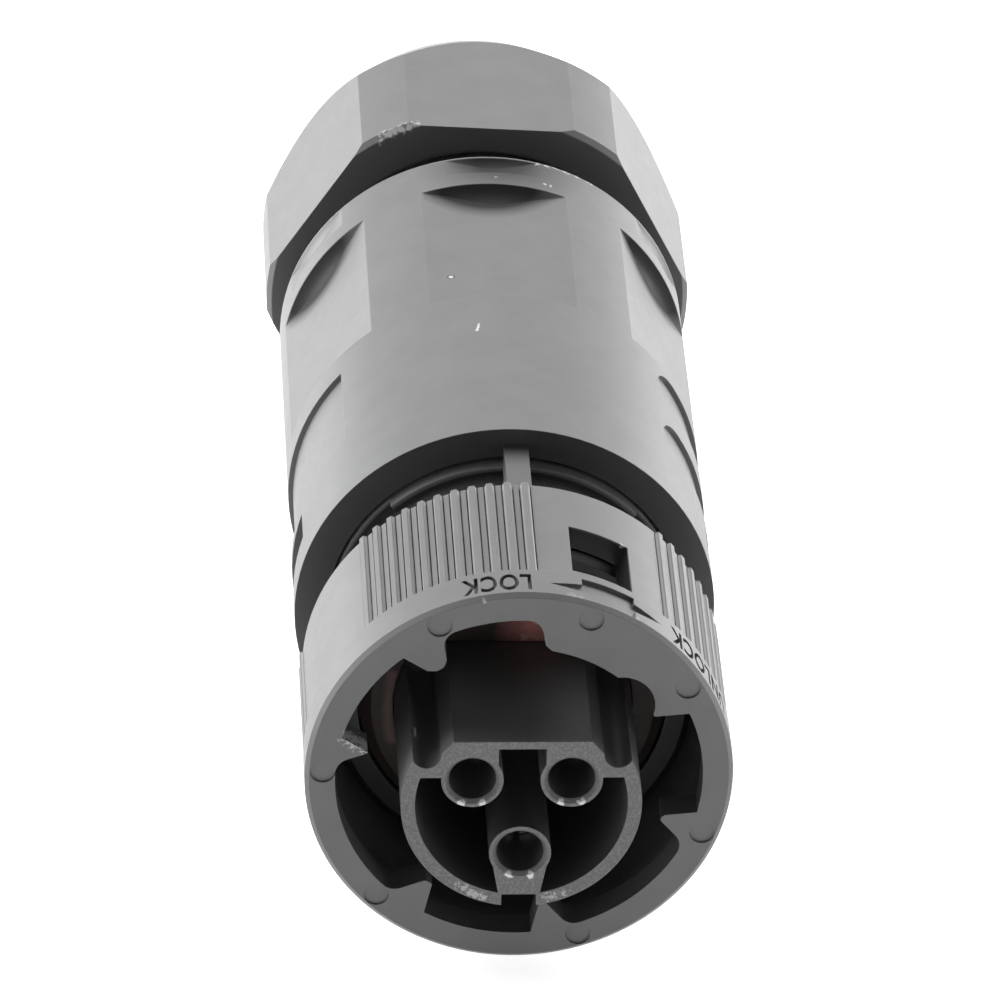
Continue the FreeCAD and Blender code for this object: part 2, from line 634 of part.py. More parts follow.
def make_front_housing():
    """Neck for the locking ring, with key ribs and a snap flange, and the plug that latches in the sleeve."""
    body = new_body("front_housing_body")
    turned(body, "housing_blank", [
        ("0", "gasket_floor"),
        ("gasket_radius", "gasket_floor"),
        ("gasket_radius", "neck_front"),
        ("snap_radius - snap_bevel", "neck_front"),
        ("snap_radius", "neck_front + snap_bevel"),
        ("snap_radius", "snap_back"),
        ("neck_radius", "snap_back"),
        ("neck_radius", "sleeve_front"),
        ("plug_radius", "sleeve_front"),
    ] + ring_groove("plug_radius", "plug_ring_at") + [
        ("plug_radius", "plug_back"),
        ("carrier_bore", "plug_back"),
        ("carrier_bore", "insert_back"),
        ("insert_bore", "insert_back"),
        ("insert_bore", "wall_back"),
        ("0", "wall_back"),
    ])
    shoulder_profile = rectangle("plug_radius - shoulder_height", "plug_radius",
                                 "sleeve_front - shoulder_length", "sleeve_front + root_depth")
    shoulder = turned(body, "shoulder", shoulder_profile, "shoulder_start - sleeve_turn", "shoulder_sweep")
    round_axis(body, "shoulders", shoulder, "rib_count")
    rib_profile = across(body, "key_rib_profile", "sleeve_front")
    rib_root = "neck_radius - root_depth"
    outline(rib_profile, rectangle("-rib_width / 2", "rib_width / 2", rib_root, "rib_radius"))
    rib = pad(body, "key_rib", rib_profile, "sleeve_front - rib_front")
    round_axis(body, "key_ribs", rib, "rib_count")
    lug_front = "(latch_front + end_gap)"
    lug_profile = sketch_in(body, "latch_lug_profile", "XY_Plane")
    outline(lug_profile, [
        ("plug_radius - root_depth", lug_front),
        ("plug_radius + lug_height", lug_front),
        ("plug_radius + lug_height", lug_front + " + lug_top"),
        ("plug_radius - root_depth", "latch_front + latch_length - end_gap"),
    ])
    lug = body.newObject("PartDesign::Pad", "latch_lug")
    lug.Profile = lug_profile
    lug.Midplane = True
    bind(lug, "Length", "lug_width")
    round_axis(body, "latch_lugs", lug, "2")
    turn_about_axis(body, "sleeve_turn")
    opening = insert_outline("insert_opening", "gasket_floor - overcut", "wall_back + overcut", "seat_gap")
    return cut("front_housing", body, [opening])


def make_interface_seal():
    """Silicone gasket in the front housing's groove, round the insert."""
    front = "(neck_front - gasket_height)"
    back = "(gasket_floor - cord_gap)"
    body = new_body("interface_seal_blank")
    turned(body, "gasket_blank", [
        ("0", front),
        ("gasket_radius - gasket_lean", front),
        ("gasket_radius - 2 * seat_gap", "neck_front + gasket_edge"),
        ("gasket_radius - 2 * seat_gap", back),
        ("0", back),
    ])
    opening = insert_outline("gasket_opening", front + " - overcut", back + " + overcut", "seat_gap")
    return cut("interface_seal", body, [opening])


def flats(body, name, depth, front, back):
    """Cut flats round the sleeve; at the back they end in hollow arcs that rise to the sleeve's round."""
    distance = "(sleeve_radius - %s)" % depth
    profile = sketch_in(body, name + "_profile", "YZ_Plane")
    outline(profile, rectangle(front, back, distance, "sleeve_radius + overcut"))
    flat = body.newObject("PartDesign::Pocket", name)
    flat.Profile = profile
    flat.Midplane = True
    flat.Type = 0
    bind(flat, "Length", "2 * sleeve_radius")
    round_axis(body, name + "s", flat, "flat_count")
    rise = "(%s + scoop_sink)" % depth
    scoop_front = "(%s - sqrt(%s * (2 * scoop_end - %s)))" % (back, rise, rise)
    sketch = sketch_in(body, name + "_scoop_profile", "XY_Plane")
    arc_circle = Part.Circle(FreeCAD.Vector(10, 0, 0), FreeCAD.Vector(0, 0, 1), 2.5)
    corners = [FreeCAD.Vector(x, y, 0) for x, y in ((8.8, 2.2), (6.5, 2.2), (6.5, 0), (7.5, 0))]
    arc = sketch.addGeometry(Part.ArcOfCircle(arc_circle, math.radians(119.5), math.pi), False)
    lines = [sketch.addGeometry(Part.LineSegment(corners[i], corners[i + 1]), False) for i in range(3)]
    end, root, foot = lines
    for first, first_end, second, second_end in (
        (arc, 1, end, 1), (end, 2, root, 1), (root, 2, foot, 1), (foot, 2, arc, 2),
    ):
        sketch.addConstraint(Sketcher.Constraint("Coincident", first, first_end, second, second_end))
    scoop_root = distance + " - root_depth"
    for kind, item, point, formula in (
        ("DistanceX", arc, 3, distance + " - scoop_sink + scoop_end"),
        ("DistanceY", arc, 3, scoop_front),
        ("DistanceY", arc, 1, back),
        ("DistanceY", arc, 2, scoop_front),
        ("DistanceX", root, 1, scoop_root),
        ("DistanceY", root, 1, back),
        ("DistanceX", root, 2, scoop_root),
        ("DistanceY", root, 2, scoop_front),
    ):
        held = sketch.addConstraint(Sketcher.Constraint(kind, -1, 1, item, point, 5))
        bind(sketch, "Constraints[%d]" % held, formula)
    held = sketch.addConstraint(Sketcher.Constraint("Radius", arc, 2.5))
    bind(sketch, "Constraints[%d]" % held, "scoop_end")
    scoops = body.newObject("PartDesign::Revolution", name + "_scoops")
    scoops.Profile = sketch
    scoops.ReferenceAxis = (sketch, ["V_Axis"])
    bind(scoops, "Angle", "360")


def make_sleeve():
    """Round sleeve with wrench flats, bare label recesses, latch windows and the gland spigot."""
    body = new_body("sleeve_housing")
    turned(body, "sleeve_blank", [
        ("sleeve_bore", "sleeve_front"),
        ("sleeve_radius", "sleeve_front"),
        ("sleeve_radius", "sleeve_back - rim_length"),
        ("sleeve_radius - rim_drop", "sleeve_back"),
        ("spigot_radius", "sleeve_back"),
        ("spigot_radius", "spigot_back"),
        ("gland_mouth", "spigot_back"),
        ("gland_bore", "spigot_back - gland_length"),
        ("gland_bore", "seal_front - seat_gap"),
        ("ledge_radius", "seal_front - seat_gap"),
        ("ledge_radius", "chamber_back"),
        ("stop_bore", "chamber_back"),
        ("stop_bore", "stop_station"),
        ("sleeve_bore", "stop_station"),
    ])
    flats(body, "wrench_flat", "flat_depth", "flat_front", "flat_back")
    flats(body, "rim_flat", "rim_flat_depth", "rim_flat_front", "rim_flat_back")
    label = rectangle("label_floor", "sleeve_radius + overcut", "label_front", "label_back")
    grooved(body, "left_label", label, "270 - label_sweep / 2", "label_sweep")
    for number in (1, 2):
        middle = "(oval_first + oval_spacing * %d)" % (number - 1)
        oval = rectangle("label_floor", "sleeve_radius + overcut",
                         middle + " - oval_height / 2", middle + " + oval_height / 2")
        grooved(body, "right_label_%d" % number, oval, "90 - oval_sweep / 2", "oval_sweep")
        for end, side in (("left", "-"), ("right", "+")):
            angle = "(90 %s oval_sweep / 2)" % side
            name = "right_label_%d_%s_end" % (number, end)
            sketch = sketch_in(body, name + "_circle", "XY_Plane")
            sketch.AttachmentOffset = FreeCAD.Placement(FreeCAD.Vector(), FreeCAD.Rotation(Y_AXIS, 10))
            bind(sketch, "AttachmentOffset.Rotation.Angle", angle)
            bind(sketch, "AttachmentOffset.Base.x", "label_floor * sin" + angle)
            bind(sketch, "AttachmentOffset.Base.z", "label_floor * cos" + angle)
            circle(sketch, "0", middle, "oval_height / 2")
            end_cut = body.newObject("PartDesign::Pocket", name)
            end_cut.Profile = sketch
            end_cut.Reversed = True
            end_cut.Type = 0
            bind(end_cut, "Length", "2 * label_depth + overcut")
    opening = rectangle("sleeve_bore - overcut", "sleeve_radius + overcut",
                        "latch_front", "latch_front + latch_length")
    latch = grooved(body, "latch_window", opening, "90 - latch_sweep / 2", "latch_sweep")
    round_axis(body, "latch_windows", latch, "2")
    return turn_about_axis(body, "sleeve_turn")


def make_socket_insert():
    """Front insulator: C-shaped shroud, three socket towers, a flat-topped bridge, and a flange behind."""
    tube = cut("shroud_tube", cylinder("shroud_outer", "shroud_radius", "nose_front", "nose_floor"),
               [cylinder("shroud_hollow", "shroud_inner", "nose_front - overcut", "nose_floor + overcut")])
    reach = "(shroud_radius + overcut)"
    gap_half = "((shroud_radius - shroud_wall / 2) * sin(shroud_open / 2))"
    gap_low = "((shroud_radius - shroud_wall / 2) * cos(shroud_open / 2))"
    shroud = cut("shroud", tube, [
        box("shroud_gap", "-" + reach, reach, "nose_front - overcut", "nose_floor + overcut", gap_low, reach),
    ])
    towers = [
        cylinder("%s_tower" % pole, "tower_radius", "nose_front", "nose_floor", pole_x(angle), pole_z(angle))
        for pole, angle in POLES.items()
    ]
    upper_z = "(pole_circle * cos(60))"
    bridge_foot = "(bridge_width / 2 + (bridge_top - web_bottom) * bridge_lean)"
    bridge = prism("bridge_block", [
        ("-" + bridge_foot, "web_bottom"),
        (bridge_foot, "web_bottom"),
        ("bridge_width / 2", "bridge_top"),
        ("-bridge_width / 2", "bridge_top"),
    ], "nose_front", "nose_floor")
    slot = box("bridge_gap", "-bridge_slot_width / 2", "bridge_slot_width / 2", "nose_front - overcut",
               "nose_floor", upper_z + " - overcut", "bridge_top - bridge_web")
    webs = common(
        "side_webs",
        box("web_block", "-" + reach, reach, "nose_front", "nose_floor",
            "web_bottom", gap_low),
        cylinder("web_limit", "shroud_radius", "nose_front", "nose_floor"),
    )
    middle = box("web_middle", "-bridge_width / 2", "bridge_width / 2", "nose_front - overcut", "nose_floor",
                 "web_bottom - overcut", reach)
    side_webs = cut("outer_webs", webs, [middle])
    scoop_x = "(bridge_width / 2 + scoop_gap)"
    scoops = [
        cylinder("scoop_%s" % side, "scoop_radius", "nose_front - overcut", "nose_floor", sign + scoop_x,
                 "bridge_top - scoop_depth")
        for side, sign in (("left", "-"), ("right", ""))
    ]
    web_half = "(tower_radius * cos(30))"
    web_foot = "((key_width + web_lap) / 2)"
    earth_web = prism("earth_web", [
        ("-" + web_foot, "-shroud_inner - web_lap"),
        (web_foot, "-shroud_inner - web_lap"),
        (web_half, "-pole_circle - tower_radius / 2"),
        ("-" + web_half, "-pole_circle - tower_radius / 2"),
    ], "nose_front", "nose_floor")
    bridge_part = cut("bridge", bridge, [slot])
    base = insert_outline("insert_base", "nose_floor", "wall_back", "0")
    flange_body = new_body("insert_flange_body")
    turned(flange_body, "flange_blank", [
        ("0", "wall_back"),
        ("insert_flange", "wall_back"),
    ] + ring_groove("insert_flange", "insert_ring_at") + [
        ("insert_flange", "insert_back"),
        ("0", "insert_back"),
    ])
    solid = joined("insert_solid", [shroud, bridge_part, side_webs, earth_web, base, flange_body] + towers)
    cuts = list(scoops)
    cuts.append(box("key_notch", "-key_width / 2", "key_width / 2", "nose_front - overcut", "wall_back",
                    "-" + reach, "-shroud_inner"))
    for pole, angle in POLES.items():
        x = pole_x(angle)
        z = pole_z(angle)
        cuts.append(cylinder(pole + "_hole", "socket_radius",
                             "nose_front - overcut", "seat_front + overcut", x, z))
        cuts.append(cone(pole + "_lead", "socket_radius + hole_lead + overcut", "socket_radius",
                         "nose_front - overcut", "nose_front + hole_lead", x, z))
        cuts.append(cylinder(pole + "_seat", "collar_radius + seat_gap",
                             "seat_front", "insert_back + overcut", x, z))
    return cut("socket_insert", solid, cuts)


def make_contact(pole, angle, tip):
    """Turned socket contact with four tines, a collar and a shank for its terminal."""
    body = new_body("contact_%s_turning" % pole)
    turned(body, "contact_%s_blank" % pole, [
        ("pin_radius", tip),
        ("contact_radius", tip),
        ("contact_radius", "seat_front"),
        ("collar_radius", "seat_front"),
        ("collar_radius", "insert_back"),
        ("contact_radius", "insert_back"),
        ("contact_radius", "shank_back"),
        ("0", "shank_back"),
        ("0", "pin_depth + pin_radius / 2"),
        ("pin_radius", "pin_depth"),
    ])
    slits = [
        box("contact_%s_slit_1" % pole, "-collar_radius", "collar_radius", tip + " - overcut", "slit_back",
            "-slit_width / 2", "slit_width / 2"),
        box("contact_%s_slit_2" % pole, "-slit_width / 2", "slit_width / 2", tip + " - overcut", "slit_back",
            "-collar_radius", "collar_radius"),
    ]
    contact = cut("contact_" + pole, body, slits)
    bind(contact, "Placement.Base.x", pole_x(angle))
    bind(contact, "Placement.Base.z", pole_z(angle))
    return contact


def make_terminal(pole, angle):
    """Brass terminal block with a hole for shank and wire and a tapped hole for the clamp screw."""
    block = box("terminal_%s_block" % pole, "-terminal_width / 2", "terminal_width / 2",
                "terminal_front", "terminal_back", "terminal_low", "terminal_high")
    wire_hole = cylinder("terminal_%s_hole" % pole, "socket_radius - seat_gap / 2",
                         "terminal_front - overcut", "terminal_back + overcut", "0", "pole_circle")
    screw_hole = upright("terminal_%s_tapping" % pole, "screw_radius + seat_gap / 2", "pole_circle",
                         "terminal_high + overcut", "screw_at")
    return turn_about_axis(cut("terminal_" + pole, block, [wire_hole, screw_hole]), angle)


def make_screw(pole, angle):
    """One slotted clamp screw, standing out from the axis over its terminal."""
    shank = upright("screw_%s_shank" % pole, "screw_radius", "pole_circle + screw_tip", "head_low + seat_gap",
                    "screw_at")
    head = upright("screw_%s_head" % pole, "head_radius", "head_low", "head_high", "screw_at")
    slot = box("screw_%s_slot" % pole, "-2 * head_radius", "2 * head_radius", "screw_at - drive_width / 2",
               "screw_at + drive_width / 2", "head_high - drive_depth", "head_high + overcut")
    solid = joined("screw_%s_solid" % pole, [shank, head])
    return turn_about_axis(cut("screw_" + pole, solid, [slot]), angle)


def make_carrier():
    """Rear insulator with a chamber, a screw hole and a shank hole for each pole."""
    body = new_body("contact_carrier_blank")
    turned(body, "carrier_blank", [
        ("0", "insert_back"),
        ("carrier_spigot", "insert_back"),
        ("carrier_spigot", "plug_back + 2 * seat_gap"),
        ("carrier_radius", "plug_back + 2 * seat_gap"),
        ("carrier_radius", "carrier_back"),
        ("0", "carrier_back"),
    ])
    cutters = []
    for pole, angle in POLES.items():
        room = box("chamber_" + pole, "-terminal_width / 2 - seat_gap", "terminal_width / 2 + seat_gap",
                   "terminal_front - seat_gap", "carrier_back + overcut",
                   "terminal_low - seat_gap", "terminal_high + seat_gap")
        access = upright("access_" + pole, "head_radius + 2 * seat_gap", "terminal_high - overcut",
                         "carrier_radius + overcut", "screw_at")
        hole = cylinder("shank_hole_" + pole, "socket_radius", "insert_back - overcut",
                        "terminal_front + overcut", "0", "pole_circle")
        cutters.append(turn_about_axis(joined("pole_cutter_" + pole, [room, access, hole]), angle))
    return cut("contact_carrier", body, cutters)


def make_cable_seal():
    """Rubber gland seal: a wide front in the gland bore, a narrower back inside the claw."""
    body = new_body("cable_seal")
    turned(body, "cable_seal_blank", [
        ("seal_bore", "seal_front"),
        ("gland_bore - 2 * seat_gap", "seal_front"),
        ("gland_bore - 2 * seat_gap", "seal_step"),
        ("seal_outer", "seal_step"),
        ("seal_outer", "seal_back"),
        ("seal_bore", "seal_back"),
    ])
    return body


def make_reducer():
    """Removable inner ring of the gland seal, hooked behind the seal by its lip."""
    body = new_body("seal_reducer")
    lip = "(seal_back + seat_gap)"
    turned(body, "reducer_blank", [
        ("reducer_bore", "seal_front + running_gap"),
        ("reducer_outer", "seal_front + running_gap"),
        ("reducer_outer", lip),
        ("reducer_lip", lip),
        ("reducer_lip", lip + " + reducer_lip_length"),
        ("reducer_bore", lip + " + reducer_lip_length"),
    ])
    return body


def make_claw():
    """Strain relief ring: a flange held in the nut and fingers that reach into the gland cone."""
    body = new_body("clamp_claw")
    turned(body, "claw_blank", [
        ("claw_inner", "claw_front"),
        ("claw_outer - finger_taper", "claw_front"),
        ("claw_outer", "claw_front + finger_lead"),
        ("claw_outer", "claw_root"),
        ("claw_flange", "claw_root"),
        ("claw_flange", "claw_back"),
        ("claw_inner", "claw_back"),
    ])
    slot_profile = across(body, "claw_slot_profile", "claw_front - overcut")
    half_slot = "claw_slot_width / 2"
    outline(slot_profile, rectangle("-claw_flange", "claw_flange", "-" + half_slot, half_slot))
    slot = pocket(body, "claw_slot_cut", slot_profile, "finger_length")
    round_axis(body, "claw_slot_cuts", slot, "claw_slots", "180 * (claw_slots - 1) / claw_slots")
    return body


def end_circles(shape):
    """Names of the edges that are circles round the axis at the back end of a shape."""
    names = []
    for number, edge in enumerate(shape.Edges, start=1):
        if not isinstance(edge.Curve, Part.Circle):
            continue
        if abs(edge.Curve.Center.y - shape.BoundBox.YMax) < 0.001:
            names.append("Edge%d" % number)
    return names


def make_nut():
    """Hexagonal gland nut: turned corners, tapered and rounded end, thread bore and seat for the claw."""
    prism = doc.addObject("Part::Prism", "nut_hexagon")
    prism.Polygon = 6
    prism.Placement = FreeCAD.Placement(FreeCAD.Vector(), ALONG_Y)
    bind(prism, "Circumradius", "nut_apothem / cos(30)")
    bind(prism, "Height", "nut_length + 2 * overcut")
    bind(prism, "Placement.Base.y", "nut_front - overcut")
    body = new_body("nut_turning")
    blank = turned(body, "nut_blank", [
        ("0", "nut_front"),
        ("nut_corner - nut_edge", "nut_front"),
        ("nut_corner", "nut_front + nut_edge"),
        ("nut_corner", "nut_cone_at"),
        ("nut_corner - nut_cone_drop * nut_cone_length", "nut_back"),
        ("0", "nut_back"),
    ])
    doc.recompute()
    dome = body.newObject("PartDesign::Fillet", "nut_dome")
    dome.Base = (blank, end_circles(blank.Shape))
    bind(dome, "Radius", "nut_round")
    body.Tip = dome
    bore = new_body("nut_bore")
    turned(bore, "nut_bore_blank", [
        ("0", "nut_front - thread_lead"),
        ("thread_bore + 2 * thread_lead", "nut_front - thread_lead"),
        ("thread_bore", "nut_front + thread_lead"),
        ("thread_bore", "thread_back"),
        ("nut_lip_radius", "lip_front"),
        ("nut_lip_radius", "lip_back"),
        ("nut_seat", "lip_back"),
        ("nut_seat", "claw_back + running_gap"),
        ("nut_hole", "claw_back + running_gap"),
        ("nut_hole", "nut_back - hole_edge"),
        ("nut_hole + 2 * hole_edge", "nut_back + hole_edge"),
        ("0", "nut_back + hole_edge"),
    ])
    nut = cut("gland_nut", common("nut_solid", prism, body), [bore])
    return turn_about_axis(nut, "nut_turn")


def grouped(label, items):
    group = doc.addObject("Part::Compound", label)
    group.Links = items
    return group


parts = [
    make_locking_ring(),
    make_front_housing(),
    make_interface_seal(),
    make_sleeve(),
    make_socket_insert(),
    o_ring("insert_o_ring", "insert_flange", "insert_ring_at"),
    o_ring("housing_o_ring", "plug_radius", "plug_ring_at"),
    make_contact("line", POLES["line"], "contact_tip"),
    make_contact("neutral", POLES["neutral"], "contact_tip"),
    make_contact("earth", POLES["earth"], "(contact_tip - earth_lead)"),
    make_carrier(),
    make_terminal("line", POLES["line"]),
    make_terminal("neutral", POLES["neutral"]),
    make_terminal("earth", POLES["earth"]),
    grouped("terminal_screws", [make_screw(pole, angle) for pole, angle in POLES.items()]),
    make_cable_seal(),
    make_reducer(),
    make_claw(),
    make_nut(),
]
doc.recompute()

for item in doc.Objects:
    if "Invalid" in item.State or "Error" in item.State:
        raise RuntimeError("%s did not build: %s" % (item.Label, item.State))
for part in parts:
    if part.Shape.isNull() or not part.Shape.isValid() or not part.Shape.Solids:
        raise RuntimeError("%s is not a valid solid" % part.Label)
    part.Shape.exportStep("parts/%s.step" % part.Label)
    print("%-18s solids %d  volume %.1f mm3" % (part.Label, len(part.Shape.Solids), part.Shape.Volume))
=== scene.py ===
# %% [markdown]
# # Inverter AC connector
# A cable connector for the AC side of a small inverter: a black bayonet ring with three sockets in its
# mouth, a round sleeve behind it and a hexagonal gland nut at the end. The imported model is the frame.
# Everything here is in metres, in the same frame: the axis runs along Y, the mouth looks to -Y, Z is up.

import math

import bmesh
import bpy
from mathutils import Matrix, Vector


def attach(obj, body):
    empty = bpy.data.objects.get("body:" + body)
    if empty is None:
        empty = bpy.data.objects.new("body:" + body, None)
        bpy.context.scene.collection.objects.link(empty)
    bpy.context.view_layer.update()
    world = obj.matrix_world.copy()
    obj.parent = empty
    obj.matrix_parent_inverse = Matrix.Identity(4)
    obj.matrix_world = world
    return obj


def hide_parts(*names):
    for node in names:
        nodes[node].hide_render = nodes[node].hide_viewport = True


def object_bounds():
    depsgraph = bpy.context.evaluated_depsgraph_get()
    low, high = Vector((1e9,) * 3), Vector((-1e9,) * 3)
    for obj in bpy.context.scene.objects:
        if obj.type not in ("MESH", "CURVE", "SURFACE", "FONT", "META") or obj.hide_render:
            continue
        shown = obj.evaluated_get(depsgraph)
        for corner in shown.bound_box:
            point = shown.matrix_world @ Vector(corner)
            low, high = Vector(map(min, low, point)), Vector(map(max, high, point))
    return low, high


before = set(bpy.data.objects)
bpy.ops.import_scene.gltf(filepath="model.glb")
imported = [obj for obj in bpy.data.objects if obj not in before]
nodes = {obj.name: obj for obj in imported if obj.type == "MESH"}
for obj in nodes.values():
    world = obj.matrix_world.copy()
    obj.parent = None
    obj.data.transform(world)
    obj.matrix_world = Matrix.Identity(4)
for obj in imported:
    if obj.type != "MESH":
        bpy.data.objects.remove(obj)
cad_low, cad_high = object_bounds()
scene = bpy.context.scene
MM = 0.001
print("nodes", len(nodes), "box", [round(v, 4) for v in (*cad_low, *cad_high)])

# %% [markdown]
# ## The camera
# The photograph was taken with a long lens from in front and above, a little left of the axis. A camera
# could be set with angles, but a place, an aim and a small roll say the same thing and are easy to read.

# %% Place the camera
CAMERA_AT = Vector((-0.0467, -0.7474, 0.4717))
CAMERA_LOOK = Vector((0.05094, 0.85907, -0.50931))
CAMERA_ROLL = math.radians(-1.595)

camera_data = bpy.data.cameras.new("photo_camera")
camera_data.lens = 360.0
camera_data.sensor_width = 36.0
camera_data.clip_end = 20.0
camera = bpy.data.objects.new("photo_camera", camera_data)
aim = CAMERA_LOOK.to_track_quat("-Z", "Y").to_matrix().to_4x4()
camera.matrix_world = Matrix.Translation(CAMERA_AT) @ aim @ Matrix.Rotation(-CAMERA_ROLL, 4, "Z")
scene.collection.objects.link(camera)
scene.camera = camera
print("camera at", [round(v, 3) for v in CAMERA_AT])

# %% [markdown]
# ## Building a finish from nodes
# Every finish here is a Principled shader with patterns on Object coordinates, so that the pattern stays
# on the piece when it moves. Small helpers keep each finish readable: one adds a node and sets its sockets,
# one adds a noise, and one stretches a value into a range. Constants are set on the shader's own sockets.

# %% Helpers for finishes
def new_finish(name):
    finish = bpy.data.materials.new(name)
    finish.use_nodes = True
    return finish, finish.node_tree.nodes["Principled BSDF"]


def add_node(finish, kind, settings=None, **sockets):
    node = finish.node_tree.nodes.new(kind)
    for key, value in (settings or {}).items():
        setattr(node, key, value)
    for key, value in sockets.items():
        node.inputs[key].default_value = value
    return node


def link(finish, output, socket):
    finish.node_tree.links.new(output, socket)


def object_place(finish):
    return add_node(finish, "ShaderNodeTexCoord").outputs["Object"]


def noise(finish, place, scale, detail=3.0, roughness=0.55):
    node = add_node(finish, "ShaderNodeTexNoise", Scale=scale, Detail=detail, Roughness=roughness)
    link(finish, place, node.inputs["Vector"])
    return node.outputs["Fac"]


def in_range(finish, value, low, high, to_low, to_high):
    node = add_node(finish, "ShaderNodeMapRange")
    for key, number in zip(("From Min", "From Max", "To Min", "To Max"), (low, high, to_low, to_high)):
        node.inputs[key].default_value = number
    link(finish, value, node.inputs["Value"])
    return node.outputs["Result"]


def combine(finish, operation, first, second):
    node = add_node(finish, "ShaderNodeMath", {"operation": operation})
    link(finish, first, node.inputs[0])
    link(finish, second, node.inputs[1])
    return node.outputs[0]


def tinted(finish, value, low_colour, high_colour):
    node = add_node(finish, "ShaderNodeMix", {"data_type": "RGBA"})
    node.inputs["A"].default_value = (*low_colour, 1.0)
    node.inputs["B"].default_value = (*high_colour, 1.0)
    link(finish, value, node.inputs["Factor"])
    return next(output for output in node.outputs if output.type == "RGBA")


def covered(finish, mask, colour, over):
    """A colour with another one laid over it where a mask is 1."""
    node = add_node(finish, "ShaderNodeMix", {"data_type": "RGBA"})
    colours = [socket for socket in node.inputs if socket.type == "RGBA"]
    link(finish, colour, colours[0])
    colours[1].default_value = (*over, 1.0)
    link(finish, mask, node.inputs["Factor"])
    return next(output for output in node.outputs if output.type == "RGBA")


def along(finish, place, axis):
    node = add_node(finish, "ShaderNodeSeparateXYZ")
    link(finish, place, node.inputs["Vector"])
    return node.outputs[axis]


def station_of(finish, place):
    """The place along the axis."""
    return along(finish, place, "Y")


def radius_of(finish, place):
    """The distance from the axis."""
    flat = add_node(finish, "ShaderNodeVectorMath", {"operation": "MULTIPLY"})
    flat.inputs[1].default_value = (1.0, 0.0, 1.0)
    link(finish, place, flat.inputs[0])
    length = add_node(finish, "ShaderNodeVectorMath", {"operation": "LENGTH"})
    link(finish, flat.outputs["Vector"], length.inputs[0])
    return length.outputs["Value"]


def below(finish, value, limit, blur=0.1):
    """1 where a value is under a limit in mm, 0 over it."""
    return in_range(finish, value, MM * (limit - blur / 2), MM * (limit + blur / 2), 1.0, 0.0)


def above(finish, value, limit, blur=0.1):
    return in_range(finish, value, MM * (limit - blur / 2), MM * (limit + blur / 2), 0.0, 1.0)


def all_of(finish, *masks):
    shared = masks[0]
    for mask in masks[1:]:
        shared = combine(finish, "MULTIPLY", shared, mask)
    return shared


print("helpers for finishes ready")

# %% [markdown]
# ## Moulded edges and their wear
# A moulded edge is never sharp: a small round catches the light along every rim. It could be modelled on
# each edge, but the Bevel node rounds the shading of all edges at once. Where the rounded normal leaves the
# surface's own normal there is an edge, and that difference also shows where edges are rubbed pale.

# %% Soft edges
EDGE_STARTS, EDGE_FULL = 0.99, 0.80


def soft_edges(finish, radius):
    """The rounded normal of a finish, and a mask that is 1 on its edges."""
    rounded = add_node(finish, "ShaderNodeBevel", {"samples": 4}, Radius=radius)
    surface = add_node(finish, "ShaderNodeNewGeometry")
    facing = add_node(finish, "ShaderNodeVectorMath", {"operation": "DOT_PRODUCT"})
    link(finish, rounded.outputs["Normal"], facing.inputs[0])
    link(finish, surface.outputs["Normal"], facing.inputs[1])
    edge = in_range(finish, facing.outputs["Value"], EDGE_STARTS, EDGE_FULL, 0.0, 1.0)
    return rounded.outputs["Normal"], edge


def roughened(finish, shader, normal, height, strength, depth):
    bump = add_node(finish, "ShaderNodeBump", Strength=strength, Distance=depth)
    link(finish, height, bump.inputs["Height"])
    link(finish, normal, bump.inputs["Normal"])
    link(finish, bump.outputs["Normal"], shader.inputs["Normal"])


print("edge helpers ready")

# %% [markdown]
# ## Chips, scuffs and painted highlights
# The photographed piece is a little worn: a dot and a short scratch on the sleeve, a ragged nick on the nut,
# scuffed rims. Painted light is made the same way: glints on the sockets' rims, streaks on the insert, lit
# patches on the gasket and on a rubbed tooth. Each is a soft ball in space with a noisy edge, so it paints only
# the surface that it touches. Small meshes would do as well, but paint can't come loose from the surface.

# %% Chips
def chips(finish, place, spots, core=0.75, ragged=0.9):
    """A mask that is 1 inside any of the spots, given as (centre in mm, radius in mm), with a ragged edge."""
    wobble = noise(finish, place, 2600.0, 3.0, 0.6)
    mask = None
    for centre, radius in spots:
        away = add_node(finish, "ShaderNodeVectorMath", {"operation": "DISTANCE"})
        away.inputs[1].default_value = [MM * v for v in centre]
        link(finish, place, away.inputs[0])
        bite = in_range(finish, wobble, 0.3, 0.7, -MM * radius * ragged, MM * radius * ragged)
        reach = combine(finish, "ADD", away.outputs["Value"], bite)
        spot = in_range(finish, reach, MM * radius, MM * radius * core, 0.0, 1.0)
        mask = spot if mask is None else combine(finish, "MAXIMUM", mask, spot)
    return mask


def on_round(radius, station, angle):
    """A point in mm on a cylinder round the axis."""
    turn = math.radians(angle)
    return (radius * math.sin(turn), station, radius * math.cos(turn))


print("chip helper ready")

# %% [markdown]
# ## Black moulded plastic
# Housing, ring and nut are black glass-filled polyamide: satin, a little mottled, with a fine grain. Three
# noises of different size drive colour, gloss and a shallow bump; rubbed edges are paler. Over the colour lie
# shades, masks by radius and station that mostly paint shade and light into it, and patches, which are chips
# of wear and painted highlights. More materials on more faces would do the same, but masks leave the frame's
# meshes as they are.

# %% The plastic recipe
PLASTIC_SPECULAR, DULL_SPECULAR = 0.5, 0.05


